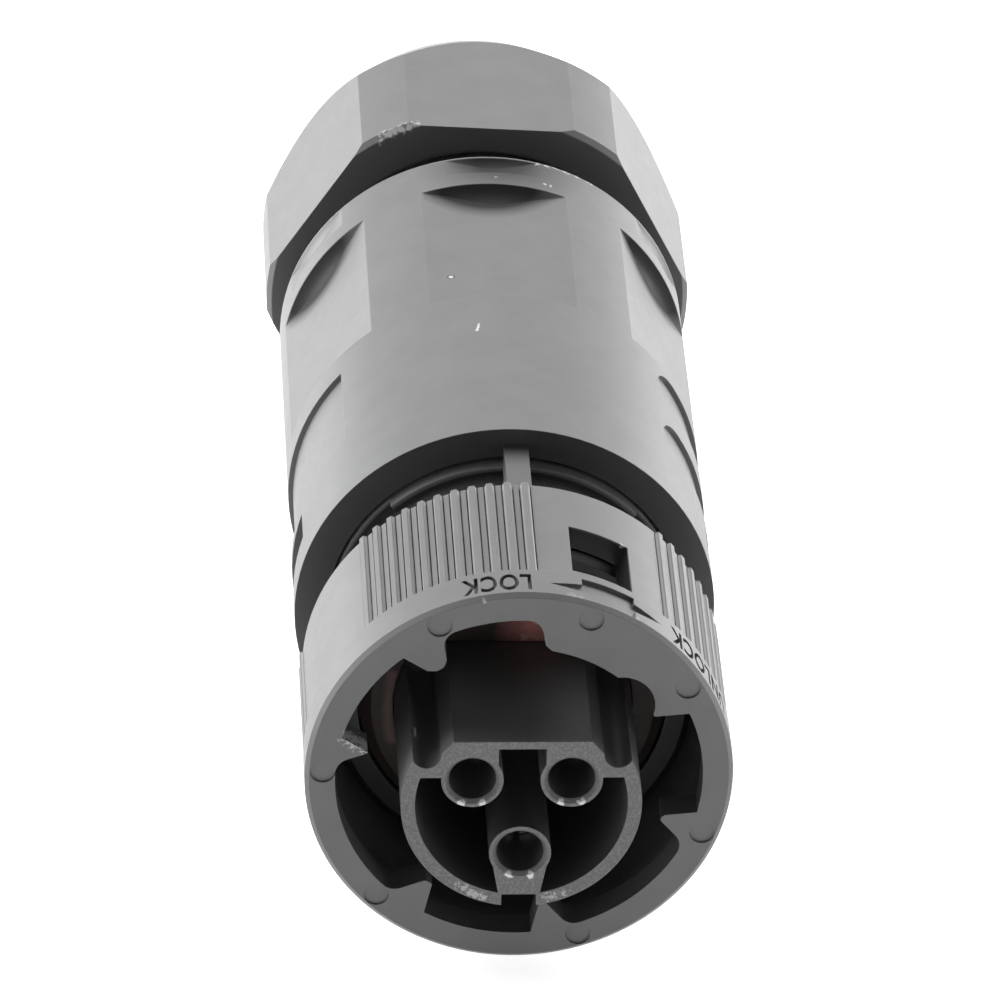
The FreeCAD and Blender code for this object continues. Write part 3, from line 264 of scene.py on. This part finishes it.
def moulded(name, dark, light, worn, gloss, shades=(), patches=(), dull=()):
    """Plastic with shades as (mask maker, tone), mostly painted shade and light, patches as (spots, tone, core,
    raggedness) and dull masks.
    """
    finish, shader = new_finish(name)
    place = object_place(finish)
    colour = tinted(finish, in_range(finish, noise(finish, place, 260.0), 0.35, 0.65, 0.0, 1.0), dark, light)
    for shade, tone in shades:
        colour = covered(finish, shade(finish, place), colour, (tone, tone, tone))
    normal, edge = soft_edges(finish, 0.09 * MM)
    rubbed = in_range(finish, noise(finish, place, 700.0, 4.0), 0.42, 0.62, 0.05, 0.75)
    colour = covered(finish, combine(finish, "MULTIPLY", edge, rubbed), colour, worn)
    for spots, tone, core, ragged in patches:
        colour = covered(finish, chips(finish, place, spots, core, ragged), colour, (tone, tone, tone))
    link(finish, colour, shader.inputs["Base Color"])
    sheen = in_range(finish, noise(finish, place, 900.0, 2.0), 0.3, 0.7, gloss - 0.02, gloss + 0.02)
    link(finish, sheen, shader.inputs["Roughness"])
    shader.inputs["IOR"].default_value = 1.5
    # The dull masks lie where shade is painted: the specular level drops there, so reflection doesn't lift the
    # painted shade.
    if dull:
        masks = [shade(finish, place) for shade in dull]
        either = masks[0]
        for mask in masks[1:]:
            either = combine(finish, "MAXIMUM", either, mask)
        level = in_range(finish, either, 0.0, 1.0, PLASTIC_SPECULAR, DULL_SPECULAR)
        link(finish, level, shader.inputs["Specular IOR Level"])
    roughened(finish, shader, normal, noise(finish, place, 7000.0, 2.0), 0.08, 0.04 * MM)
    return finish


print("plastic recipe ready")

# %% [markdown]
# ## Where shade and light are painted into the plastic
# The insides of mouth, chamber and window, the scoops at the ends of the wrench flats, the key ribs and the
# faces that look to the camera get painted shade; the rib flanks of the grip, the ring's upper chamfer and the
# neck's shoulder get painted light. Each gets a mask that says where it lies. A lamp setup alone could do some
# of it, but the masks keep the depth readable from any side.

# %% Masks for painted shade and light
BLACK = {
    "dark": (0.151, 0.152, 0.154), "light": (0.166, 0.167, 0.169),
    "worn": (0.34, 0.34, 0.34), "gloss": 0.42,
}
CHAMBER_RADIUS = 16.62
LAND_BACK = 3.05
GRIP_FRONT, GRIP_BACK = 4.3, 19.2
FLAT_BACK, RIM_BACK = 74.32, 79.32
FLAT_HEIGHT, FLAT_EDGE = 18.0, 19.04


def chamber_painted_shade(finish, place):
    """Painted shade in the chamber behind the mouth."""
    radius, station = radius_of(finish, place), station_of(finish, place)
    return all_of(finish, below(finish, radius, CHAMBER_RADIUS), above(finish, station, LAND_BACK))


def opening_painted_shade(finish, place):
    """Painted shade on the walls of the ring's window and the floors of the knurl's lines."""
    radius, station = radius_of(finish, place), station_of(finish, place)
    return all_of(finish, below(finish, radius, 18.5), above(finish, radius, CHAMBER_RADIUS),
                  above(finish, station, GRIP_FRONT), below(finish, station, GRIP_BACK))


def word_painted_shade(finish, place):
    """Painted shade on the floors of the sunk words."""
    radius, station = radius_of(finish, place), station_of(finish, place)
    return all_of(finish, below(finish, radius, 18.57, 0.02), above(finish, radius, 17.5),
                  above(finish, station, 0.6), below(finish, station, 4.1))


def flank_painted_light(finish, place):
    """Painted light on the flanks of the grip's ribs."""
    radius, station = radius_of(finish, place), station_of(finish, place)
    return all_of(finish, above(finish, radius, 18.67, 0.02), below(finish, radius, 18.86, 0.08),
                  above(finish, station, GRIP_FRONT), below(finish, station, GRIP_BACK))


def chamfer_painted_light(finish, place):
    """Painted light on the upper half of the chamfer round the ring's front face."""
    radius, station = radius_of(finish, place), station_of(finish, place)
    return all_of(finish, above(finish, radius, 18.62, 0.04), below(finish, station, 0.39, 0.04),
                  above(finish, along(finish, place, "Z"), 4.0, 8.0))


def neck_painted_shade(finish, place):
    """Painted shade on the neck between ring and sleeve, under its ribs and shoulders, and inside the ring."""
    neck = below(finish, radius_of(finish, place), 15.5)
    return combine(finish, "MAXIMUM", neck, below(finish, station_of(finish, place), 18.6))


def shoulder_painted_light(finish, place):
    """Painted light on the shoulder in front of the sleeve."""
    radius, station = radius_of(finish, place), station_of(finish, place)
    return all_of(finish, above(finish, radius, 15.7), below(finish, radius, 16.1),
                  above(finish, station, 26.5))


def rib_painted_shade(finish, place):
    """Painted shade on the key ribs."""
    return above(finish, radius_of(finish, place), 16.3)


def sleeve_front_painted_shade(finish, place):
    """Painted shade on the sleeve's front face."""
    return below(finish, station_of(finish, place), 28.55, 0.05)


def nut_front_painted_shade(finish, place):
    """Painted shade on the nut's front face and the chamfer round it."""
    return below(finish, station_of(finish, place), 86.05, 0.05)


def scoop_painted_shade(last, depth, reach, fade, sides):
    """Painted shade in a lens at the back of some of the six flats: the part of a big soft ball on the flat."""
    spots = [(on_round(FLAT_HEIGHT, last - depth + reach, 60.0 * side), reach) for side in sides]

    def shade(finish, place):
        station, radius = station_of(finish, place), radius_of(finish, place)
        lens = chips(finish, place, spots, 1.0 - fade * depth / reach, 0.0)
        return all_of(finish, lens, below(finish, station, last), below(finish, radius, FLAT_EDGE, 0.04))
    return shade


def rim_painted_shade(finish, place):
    """Painted soft shade on top of the sleeve's rim, behind the upper flat."""
    station = station_of(finish, place)
    shade_ball = chips(finish, place, [(on_round(19.0, 79.4, 4.5), 8.5)], 0.3, 0.0)
    return all_of(finish, shade_ball, above(finish, station, FLAT_BACK), below(finish, station, RIM_BACK))


def insert_painted_shade(finish, place):
    """Painted shade on all of the insert behind its rubbed front faces."""
    return above(finish, station_of(finish, place), -4.2)


def insert_front(finish, place):
    """The insert's front faces."""
    return below(finish, station_of(finish, place), -4.25)


def insert_grain(finish, place):
    """Rubbed grains on the insert's front faces."""
    grains = in_range(finish, noise(finish, place, 3600.0, 4.0, 0.7), 0.45, 0.68, 0.0, 1.0)
    return all_of(finish, insert_front(finish, place), grains)


print("shade masks ready")

# %% [markdown]
# ## Plastic of each piece
# Every piece gets the same recipe with its own shades and chips. One finish for all would be shorter, but then
# the chips of one piece would show on its neighbour, because they are places in space.

# %% Plastic of the ring
ring_speck = [(on_round(18.6, 0.1, -10.8), 0.22), (on_round(18.6, 13.1, 30.2), 0.24)]
ring_scuff = [(on_round(18.95, 0.45, angle), 0.5) for angle in range(13, 32, 2)]
# The tooth's upper flank is rubbed pale and also painted lighter as light; flecks of wear lie on it.
tooth_rub_and_light = [((-15.3 + 0.5 * i, 1.0, 3.95 - 0.315 * i), 1.1) for i in range(5)]
tooth_flecks = [((-15.5 + 0.35 * i, 0.3, 4.05 - 0.22 * i), 0.35) for i in range(7)]
ring_plastic = moulded("ring_plastic", **BLACK, patches=[
    (ring_scuff, 0.30, 0.3, 0.7), (tooth_rub_and_light, 0.75, 0.3, 0.6),
    (tooth_flecks, 0.75, 0.4, 0.9), (ring_speck, 0.6, 0.75, 0.9),
], shades=[
    (chamber_painted_shade, 0.13), (opening_painted_shade, 0.012), (word_painted_shade, 0.045),
    (flank_painted_light, 0.34), (chamfer_painted_light, 0.27),
])
print("ring finish", ring_plastic.name)

# %% Plastic of the housings and the nut
DOT_AT = (-4.04, 58.36, 18.0)
dot = [(DOT_AT, 0.42)]
dot_middle = [(DOT_AT, 0.26)]
scratch = [(on_round(19.1, 46.7 + 0.22 * i, -6.5 + 0.14 * i), 0.15) for i in range(6)]
rim_nicks = [(on_round(19.1, 75.6, angle), 0.22) for angle in (2.9, 16.8, 18.6)]
rim_nicks += [(on_round(19.0, 79.4, angle), 0.3) for angle in (15, 18, 21, 24, 27, 31)]
rim_scuff = [(on_round(18.9, 80.4, angle), 0.45) for angle in range(12, 32, 2)]
# Painted shade in the scoops at the back of the six flats and of the upper rim flat, and on top of the rim.
flat_scoop_painted_shade = scoop_painted_shade(FLAT_BACK, 4.4, 7.5, 0.45, range(6))
rim_scoop_painted_shade = scoop_painted_shade(RIM_BACK, 3.0, 4.64, 0.9, [0])
sleeve_plastic = moulded("sleeve_plastic", **BLACK, patches=[
    (dot, 0.03, 0.8, 0.1), (dot_middle, 0.7, 0.8, 0.1),
    (scratch, 0.7, 0.7, 0.4), (rim_nicks, 0.5, 0.6, 1.0), (rim_scuff, 0.3, 0.3, 1.2),
], shades=[
    (sleeve_front_painted_shade, 0.075), (flat_scoop_painted_shade, 0.045), (rim_painted_shade, 0.07), (rim_scoop_painted_shade, 0.03),
], dull=[flat_scoop_painted_shade, rim_painted_shade, rim_scoop_painted_shade])

nut_nick = [(on_round(20.1, 86.1, -28.5 + 2.0 * i), 0.55) for i in range(6)]
nut_plastic = moulded("nut_plastic", **BLACK, patches=[(nut_nick, 0.45, 0.5, 1.1)],
                      shades=[(nut_front_painted_shade, 0.08)])

inner_plastic = moulded("inner_plastic", **BLACK, shades=[
    (neck_painted_shade, 0.03), (shoulder_painted_light, 0.28), (rib_painted_shade, 0.095),
])

print("housing and nut finishes", sleeve_plastic.name, nut_plastic.name, inner_plastic.name)

# %% Plastic of the insulators
POLE_CIRCLE, SOCKET_RIM = 5.05, 2.5
INSERT_FACE = -4.4
SHROUD_RADIUS = 10.1

# Painted highlights on the sockets' rims, two low on each socket.
painted_rim_glints = []
for pole in (-60.0, 60.0, 180.0):
    middle_x, _, middle_z = on_round(POLE_CIRCLE, 0.0, pole)
    for angle in (-158.0, 158.0):
        x, _, z = on_round(SOCKET_RIM, 0.0, angle)
        painted_rim_glints.append(((middle_x + x, INSERT_FACE, middle_z + z), 0.4))
FLECK_ANGLES = (-148, -151, -154, -157, -160, -163, 165, 162, 157)
flecks = [(on_round(SHROUD_RADIUS, INSERT_FACE, angle), 0.35) for angle in FLECK_ANGLES]

# Painted light: two pale streaks on the insert's outer walls.
right_light_streak = [((10.33 + 0.028 * i, 11.88 - 0.19 * i, 2.60 - 0.134 * i), 0.2) for i in range(6)]
left_light_streak = [((-9.25, 1.9 - 0.2 * i, 4.08), 0.14) for i in range(8)]
insulator = moulded("insulator", **BLACK, patches=[
    (painted_rim_glints, 0.95, 0.6, 0.4), (flecks, 0.5, 0.4, 1.2),
    (right_light_streak, 0.9, 0.5, 0.4), (left_light_streak, 0.9, 0.5, 0.3),
], shades=[(insert_painted_shade, 0.12), (insert_front, 0.13), (insert_grain, 0.24)])
print("insulator finish", insulator.name)

# %% [markdown]
# ## Silicone, rubber and metal
# The gasket in the mouth is red silicone, painted dark brown as shade and clean red as light only at the top;
# the gland's seals are black rubber. Contacts are silvered brass, terminals bare brass and screws zinc plated.
# They use
# the same helpers with other numbers: rubber is rough with a low specular level and may have patches of colour
# and of painted light, metal is metallic with fine turning marks across its length.

# %% Rubber and silicone
def rubbery(name, dark, light, roughness, patches=()):
    """Soft rubber with patches as (spots, colour, core, raggedness)."""
    finish, shader = new_finish(name)
    place = object_place(finish)
    colour = tinted(finish, in_range(finish, noise(finish, place, 420.0), 0.35, 0.65, 0.0, 1.0), dark, light)
    for spots, tone, core, ragged in patches:
        colour = covered(finish, chips(finish, place, spots, core, ragged), colour, tone)
    link(finish, colour, shader.inputs["Base Color"])
    shader.inputs["Specular IOR Level"].default_value = 0.2
    sheen = in_range(finish, noise(finish, place, 1200.0), 0.3, 0.7, roughness - 0.07, roughness + 0.07)
    link(finish, sheen, shader.inputs["Roughness"])
    normal, _ = soft_edges(finish, 0.2 * MM)
    roughened(finish, shader, normal, noise(finish, place, 5200.0, 2.0), 0.15, 0.05 * MM)
    return finish


# The gasket's dark brown colour is painted shade; painted light makes its top clean red and lights a lip on its
# left, with pale speckles over the lit top.
gasket_lit_top = [((2.0, 12.4, 7.5), 4.0)]
pale_speckles = [((0.8 + 0.22 * i, 12.4, 7.0), 0.28) for i in range(8)]
gasket_lit_lip = [((-11.15 + 0.035 * (i - 11) ** 2 / 11, 12.4, 3.1 - 0.32 * i), 0.75) for i in range(22)]
red_silicone = rubbery("red_silicone", (0.056, 0.045, 0.042), (0.068, 0.053, 0.049), 0.45, [
    (gasket_lit_lip, (0.22, 0.14, 0.13), 0.1, 0.1), (gasket_lit_top, (0.90, 0.38, 0.36), 0.2, 0.05),
    (pale_speckles, (0.95, 0.55, 0.48), 0.4, 1.0),
])
black_rubber = rubbery("black_rubber", (0.022, 0.022, 0.023), (0.034, 0.034, 0.035), 0.65)
print("soft finishes", red_silicone.name, black_rubber.name)


# %% Metals
def turned_metal(name, dark, light, roughness):
    finish, shader = new_finish(name)
    place = object_place(finish)
    stretch = add_node(finish, "ShaderNodeMapping")
    stretch.inputs["Scale"].default_value = (200.0, 9000.0, 200.0)
    link(finish, place, stretch.inputs["Vector"])
    lines = noise(finish, stretch.outputs["Vector"], 1.0, 2.0)
    colour = tinted(finish, in_range(finish, noise(finish, place, 500.0), 0.3, 0.7, 0.0, 1.0), dark, light)
    link(finish, colour, shader.inputs["Base Color"])
    shader.inputs["Metallic"].default_value = 1.0
    sheen = in_range(finish, lines, 0.3, 0.7, roughness - 0.06, roughness + 0.1)
    link(finish, sheen, shader.inputs["Roughness"])
    normal, _ = soft_edges(finish, 0.1 * MM)
    roughened(finish, shader, normal, lines, 0.08, 0.03 * MM)
    return finish


silvered = turned_metal("silvered_brass", (0.66, 0.65, 0.62), (0.80, 0.79, 0.76), 0.26)
brass = turned_metal("brass", (0.62, 0.46, 0.20), (0.74, 0.58, 0.30), 0.3)
zinc = turned_metal("zinc_steel", (0.52, 0.53, 0.53), (0.66, 0.66, 0.65), 0.34)
print("metals", silvered.name, brass.name, zinc.name)

# %% [markdown]
# ## Finishes on the frame's nodes
# A node keeps its mesh and takes a new material in its first slot. It could be replaced by a new piece, but
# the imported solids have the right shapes, so only their finish changes.

# %% Assign the finishes
FINISHES = {
    "locking_ring": ring_plastic, "sleeve_housing": sleeve_plastic, "gland_nut": nut_plastic,
    "front_housing": inner_plastic, "clamp_claw": inner_plastic,
    "socket_insert": insulator, "contact_carrier": insulator,
    "interface_seal": red_silicone, "insert_o_ring": black_rubber, "housing_o_ring": black_rubber,
    "cable_seal": black_rubber, "seal_reducer": black_rubber,
    "contact_line": silvered, "contact_neutral": silvered, "contact_earth": silvered,
    "terminal_line": brass, "terminal_neutral": brass, "terminal_earth": brass, "terminal_screws": zinc,
}
for name, finish in FINISHES.items():
    mesh = nodes[name].data
    mesh.materials.clear()
    mesh.materials.append(finish)
print("finishes on", len(FINISHES), "of", len(nodes), "nodes")

# %% [markdown]
# ## Words and arrow on the ring
# The ring says LOCK and UNLOCK with a double arrow between them, sunk into its front band. The words are made
# as flat text, turned to mesh, bent round the band, extruded into cutters and taken out of a merged copy of the
# ring with a Boolean. Bending them keeps the floor at an even depth; only the arrow gets shallow at its tips.
# The same Boolean cuts the thin lines that the mould leaves at both feet of every rib of the grip.

# %% Flat outlines
def text_sheet(words, width, height):
    """Words as a flat mesh of a given width and height, centred."""
    curve = bpy.data.curves.new("words", "FONT")
    curve.body = words
    curve.space_character = 1.1
    curve.offset = 0.028
    item = bpy.data.objects.new("words", curve)
    scene.collection.objects.link(item)
    bpy.context.view_layer.update()
    mesh = bpy.data.meshes.new_from_object(item)
    bpy.data.objects.remove(item)
    sheet = bmesh.new()
    sheet.from_mesh(mesh)
    bmesh.ops.remove_doubles(sheet, verts=sheet.verts, dist=1e-5)
    low_x, high_x = (f(v.co.x for v in sheet.verts) for f in (min, max))
    low_y, high_y = (f(v.co.y for v in sheet.verts) for f in (min, max))
    bmesh.ops.translate(sheet, verts=sheet.verts[:], vec=(-(low_x + high_x) / 2, -(low_y + high_y) / 2, 0.0))
    bmesh.ops.scale(sheet, verts=sheet.verts[:], vec=(width / (high_x - low_x), height / (high_y - low_y), 1.0))
    return sheet


def arrow_sheet(length, head, bar, spread):
    """A double arrow as one flat face, centred, along X."""
    half = length / 2
    neck = half - head
    right = [(neck, -bar / 2), (neck, -spread / 2), (half, 0.0), (neck, spread / 2), (neck, bar / 2)]
    corners = right + [(-x, -y) for x, y in right]
    sheet = bmesh.new()
    bmesh.ops.contextual_create(sheet, geom=[sheet.verts.new((x, y, 0.0)) for x, y in corners])
    return sheet


print("outline helpers ready")

# %% Wrap an outline round the band
BAND_RADIUS = 19.0
STRIP = 0.5 * MM
STRIPS = 20
ABOVE_BAND = 0.6


def new_cutter(shape, name):
    mesh = bpy.data.meshes.new(name)
    shape.to_mesh(mesh)
    shape.free()
    cutter = bpy.data.objects.new(name, mesh)
    scene.collection.objects.link(cutter)
    return cutter


def sunk(sheet, name, angle, station, depth):
    """Wrap a flat sheet round the ring's band as a cutter whose floor lies at a depth in mm."""
    for step in range(-STRIPS, STRIPS + 1):
        everything = sheet.verts[:] + sheet.edges[:] + sheet.faces[:]
        bmesh.ops.bisect_plane(sheet, geom=everything, dist=1e-7,
                               plane_co=(STRIP * step, 0, 0), plane_no=(1, 0, 0))
    walls = bmesh.ops.extrude_face_region(sheet, geom=sheet.faces[:])
    raised = {item for item in walls["geom"] if isinstance(item, bmesh.types.BMVert)}
    for vert in sheet.verts:
        x, y = vert.co.x / MM, vert.co.y / MM
        reach = BAND_RADIUS + ABOVE_BAND if vert in raised else BAND_RADIUS - depth(abs(x))
        vert.co = [MM * v for v in on_round(reach, station - y, angle - math.degrees(x / BAND_RADIUS))]
    bmesh.ops.recalc_face_normals(sheet, faces=sheet.faces[:])
    return new_cutter(sheet, name)


def word_depth(x):
    """The same all along a word."""
    return 0.48


def arrow_depth(x):
    """Even along the bar and shallower toward the tips."""
    deep, loss, bar_end, head = 0.40, 0.28, 2.6, 2.9
    return deep if x < bar_end else deep - loss * (x - bar_end) / head


print("wrapping ready for a band of", BAND_RADIUS, "mm")

# %% Make the cutters
PANELS, RIBS = 4, 11
FIRST_RIB, RIB_STEP, HALF_RIB = -45.7, 4.85, 1.5
LINE_SIZE = (0.10 * MM, 15.3 * MM, 0.8 * MM)
LINE_AT = (0.0, 11.95 * MM, 18.68 * MM)


def knurl_lines(name):
    """Cutters for the fine lines at both feet of every rib of the grip."""
    lines = bmesh.new()
    for panel in range(PANELS):
        for rib in range(RIBS):
            for side in (-1, 1):
                angle = FIRST_RIB + 90.0 * panel + RIB_STEP * rib + side * HALF_RIB
                made = bmesh.ops.create_cube(lines, size=1.0)["verts"]
                bmesh.ops.scale(lines, verts=made, vec=LINE_SIZE)
                place = Matrix.Rotation(math.radians(angle), 4, "Y") @ Matrix.Translation(LINE_AT)
                bmesh.ops.transform(lines, matrix=place, verts=made)
    return new_cutter(lines, name)


cutters = [
    knurl_lines("cut_knurl_lines"),
    sunk(text_sheet("LOCK", 6.2 * MM, 2.6 * MM), "cut_lock", -7.2, 2.15, word_depth),
    sunk(text_sheet("UNLOCK", 9.4 * MM, 2.6 * MM), "cut_unlock", 58.0, 2.15, word_depth),
    sunk(arrow_sheet(10.9 * MM, 2.9 * MM, 1.3 * MM, 3.3 * MM), "cut_arrow", 23.6, 2.12, arrow_depth),
]
print("cutters", [cutter.name for cutter in cutters])

# %% [markdown]
# ## Soft corners in the mouth
# The lands in the ring's mouth have soft corners, and the solids have them crisp. The Bevel node rounds only
# the shading, but here the outline shows, so the ring's copy gets a real bevel along these corners. They are
# found by their radius and their angle round the axis.

# %% Copy the ring and round its lands
LAND_RADIUS, WIDE_LANDS, NARROW_LANDS = 13.4, (-36.0, -29.3, 9.0), (-143.0, 107.2, 109.5, 168.5)
TOOTH_RADIUS, TOOTH = 13.62, (-78.6,)
LAND_LENGTH, NEAR = 2.5, 0.1


def merged_copy(node, name):
    copy = bmesh.new()
    copy.from_mesh(nodes[node].data)
    bmesh.ops.remove_doubles(copy, verts=copy.verts, dist=1e-6)
    mesh = bpy.data.meshes.new(name)
    copy.to_mesh(mesh)
    copy.free()
    kept_normals = mesh.attributes.get("custom_normal")
    if kept_normals:
        mesh.attributes.remove(kept_normals)
    item = bpy.data.objects.new(name, mesh)
    scene.collection.objects.link(item)
    return item


def round_corners(piece, radius, angles, offset):
    """Round the long edges along the axis that stand at a radius and at some angles round it."""
    soft = bmesh.new()
    soft.from_mesh(piece.data)
    places = [on_round(radius, 0.0, angle) for angle in angles]
    corners = []
    for edge in soft.edges:
        ends = [vert.co / MM for vert in edge.verts]
        is_long = abs(ends[0].y - ends[1].y) > LAND_LENGTH
        if is_long and any(all(math.hypot(end.x - x, end.z - z) < NEAR for end in ends) for x, _, z in places):
            corners.append(edge)
    bmesh.ops.bevel(soft, geom=corners, offset=offset * MM, offset_type="OFFSET", segments=4, profile=0.5,
                    affect="EDGES", clamp_overlap=True, material=-1)
    soft.to_mesh(piece.data)
    soft.free()
    return len(corners)


marked_ring = merged_copy("locking_ring", "marked_ring")
rounded = round_corners(marked_ring, LAND_RADIUS, WIDE_LANDS, 0.55)
rounded += round_corners(marked_ring, LAND_RADIUS, NARROW_LANDS, 0.25)
rounded += round_corners(marked_ring, TOOTH_RADIUS, TOOTH, 0.2)
print("rounded corners", rounded)


# %% Take the cutters out of the ring
def cut_out(piece, tools):
    """Take tools out of a piece, merge what is left over and count the edges that stay open."""
    for tool in tools:
        step = piece.modifiers.new(tool.name, "BOOLEAN")
        step.object = tool
        step.operation = "DIFFERENCE"
        step.solver = "EXACT"
    bpy.context.view_layer.update()
    shaped = piece.evaluated_get(bpy.context.evaluated_depsgraph_get())
    mesh = bpy.data.meshes.new_from_object(shaped)
    piece.modifiers.clear()
    piece.data = mesh
    for tool in tools:
        bpy.data.objects.remove(tool)
    clean = bmesh.new()
    clean.from_mesh(mesh)
    bmesh.ops.remove_doubles(clean, verts=clean.verts, dist=2e-6)
    bmesh.ops.dissolve_degenerate(clean, edges=clean.edges[:], dist=1e-6)
    open_edges = sum(not edge.is_manifold for edge in clean.edges)
    clean.to_mesh(mesh)
    clean.free()
    return open_edges


before = len(marked_ring.data.polygons)
print("open edges", cut_out(marked_ring, cutters))
marked_ring.data.shade_smooth()
marked_ring.data.set_sharp_from_angle(angle=math.radians(28))
marked_ring.data.materials.clear()
marked_ring.data.materials.append(ring_plastic)
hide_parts("locking_ring")
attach(marked_ring, "ring")
print("marked ring faces", before, "->", len(marked_ring.data.polygons))

# %% [markdown]
# ## The gland's thread
# Between sleeve and nut the spigot shows its thread. The solids leave it plain, so a ridge is wound on it
# here: a small trapezoid spun round the axis while it moves along, which is what Spin does with a step.

# %% Wind the thread
THREAD_PITCH = 2.0 * MM
THREAD_ROOT = 15.45 * MM
THREAD_CREST = 15.72 * MM
THREAD_START = 82.0 * MM
THREAD_TURNS = 6
STEPS = 60

thread = bmesh.new()
profile = [(THREAD_ROOT, -0.75), (THREAD_CREST, -0.25), (THREAD_CREST, 0.25), (THREAD_ROOT, 0.75)]
section = [thread.verts.new((r, THREAD_START + y * MM, 0.0)) for r, y in profile]
start_face = thread.faces.new(section)
bmesh.ops.spin(thread, geom=[start_face], cent=(0, 0, 0), axis=(0, 1, 0),
               dvec=(0, THREAD_PITCH / STEPS, 0), angle=2 * math.pi * THREAD_TURNS,
               steps=STEPS * THREAD_TURNS, use_duplicate=False)
bmesh.ops.recalc_face_normals(thread, faces=thread.faces[:])
thread_mesh = bpy.data.meshes.new("spigot_thread")
thread.to_mesh(thread_mesh)
thread.free()
thread_mesh.shade_smooth()
thread_mesh.set_sharp_from_angle(angle=math.radians(30))
thread_mesh.materials.append(inner_plastic)
spigot_thread = bpy.data.objects.new("spigot_thread", thread_mesh)
scene.collection.objects.link(spigot_thread)
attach(spigot_thread, "housing")
print("thread faces", len(thread_mesh.polygons))

# %% [markdown]
# ## Floor and light
# The photograph is a product shot on white with its light behind and above the piece: tops are grey, the sides
# almost white, and faces that look to the camera stay dark. One big softbox hangs behind and above, two stand
# left and right. The floor is a pale plane that looks white to the camera but still takes the shadow, and the
# world is white where it is seen or mirrored and dim where it only lights.

# %% Floor
def seen_directly(tree):
    """1 for camera, mirror and glass rays."""
    path = tree.nodes.new("ShaderNodeLightPath")
    either = path.outputs["Is Camera Ray"]
    for other in ("Is Glossy Ray", "Is Transmission Ray"):
        step = tree.nodes.new("ShaderNodeMath")
        step.operation = "MAXIMUM"
        tree.links.new(either, step.inputs[0])
        tree.links.new(path.outputs[other], step.inputs[1])
        either = step.outputs[0]
    return either


FLOOR_HALF, FLOOR_BACK, FLOOR_GAP = 2.5, 0.5, 0.0001
FLOOR_LIGHT, FLOOR_SEEN = 0.57, 0.85
WORLD_LIGHT, WORLD_SEEN = 0.04, 1.0

floor_mesh = bpy.data.meshes.new("floor")
floor_sheet = bmesh.new()
bmesh.ops.create_grid(floor_sheet, x_segments=1, y_segments=1, size=FLOOR_HALF)
bmesh.ops.translate(floor_sheet, verts=floor_sheet.verts[:], vec=(0.0, FLOOR_BACK, cad_low[2] - FLOOR_GAP))
floor_sheet.to_mesh(floor_mesh)
floor_sheet.free()
floor = bpy.data.objects.new("floor", floor_mesh)
scene.collection.objects.link(floor)

white_floor, floor_shader = new_finish("white_floor")
floor_shader.inputs["Base Color"].default_value = (0.8, 0.8, 0.8, 1.0)
floor_shader.inputs["Roughness"].default_value = 0.9
floor_shader.inputs["Emission Color"].default_value = (1.0, 1.0, 1.0, 1.0)
glow = in_range(white_floor, seen_directly(white_floor.node_tree), 0.0, 1.0, FLOOR_LIGHT, FLOOR_SEEN)
link(white_floor, glow, floor_shader.inputs["Emission Strength"])
floor_mesh.materials.append(white_floor)
print("floor at", round(cad_low[2], 4))

# %% World and lamps
world = bpy.data.worlds.new("studio")
scene.world = world
world.use_nodes = True
world_tree = world.node_tree
background = world_tree.nodes["Background"]
background.inputs["Color"].default_value = (1.0, 1.0, 1.0, 1.0)
level = world_tree.nodes.new("ShaderNodeMapRange")
level.inputs["To Min"].default_value = WORLD_LIGHT
level.inputs["To Max"].default_value = WORLD_SEEN
world_tree.links.new(seen_directly(world_tree), level.inputs["Value"])
world_tree.links.new(level.outputs["Result"], background.inputs["Strength"])


def softbox(name, at, toward, width, height, power):
    lamp = bpy.data.lights.new(name, "AREA")
    lamp.shape = "RECTANGLE"
    lamp.size = width
    lamp.size_y = height
    lamp.energy = power
    item = bpy.data.objects.new(name, lamp)
    look = Vector(toward) - Vector(at)
    item.matrix_world = Matrix.Translation(at) @ look.to_track_quat("-Z", "Y").to_matrix().to_4x4()
    scene.collection.objects.link(item)
    return item


MIDDLE = (0.0, 0.05, 0.0)
softbox("overhead", (0.0, 0.50, 0.55), MIDDLE, width=0.9, height=0.6, power=2.75)
softbox("left_box", (-0.50, 0.28, 0.15), MIDDLE, width=0.4, height=0.6, power=5.9)
softbox("right_box", (0.50, 0.35, 0.15), MIDDLE, width=0.4, height=0.6, power=5.3)
scene.view_settings.view_transform = "Standard"
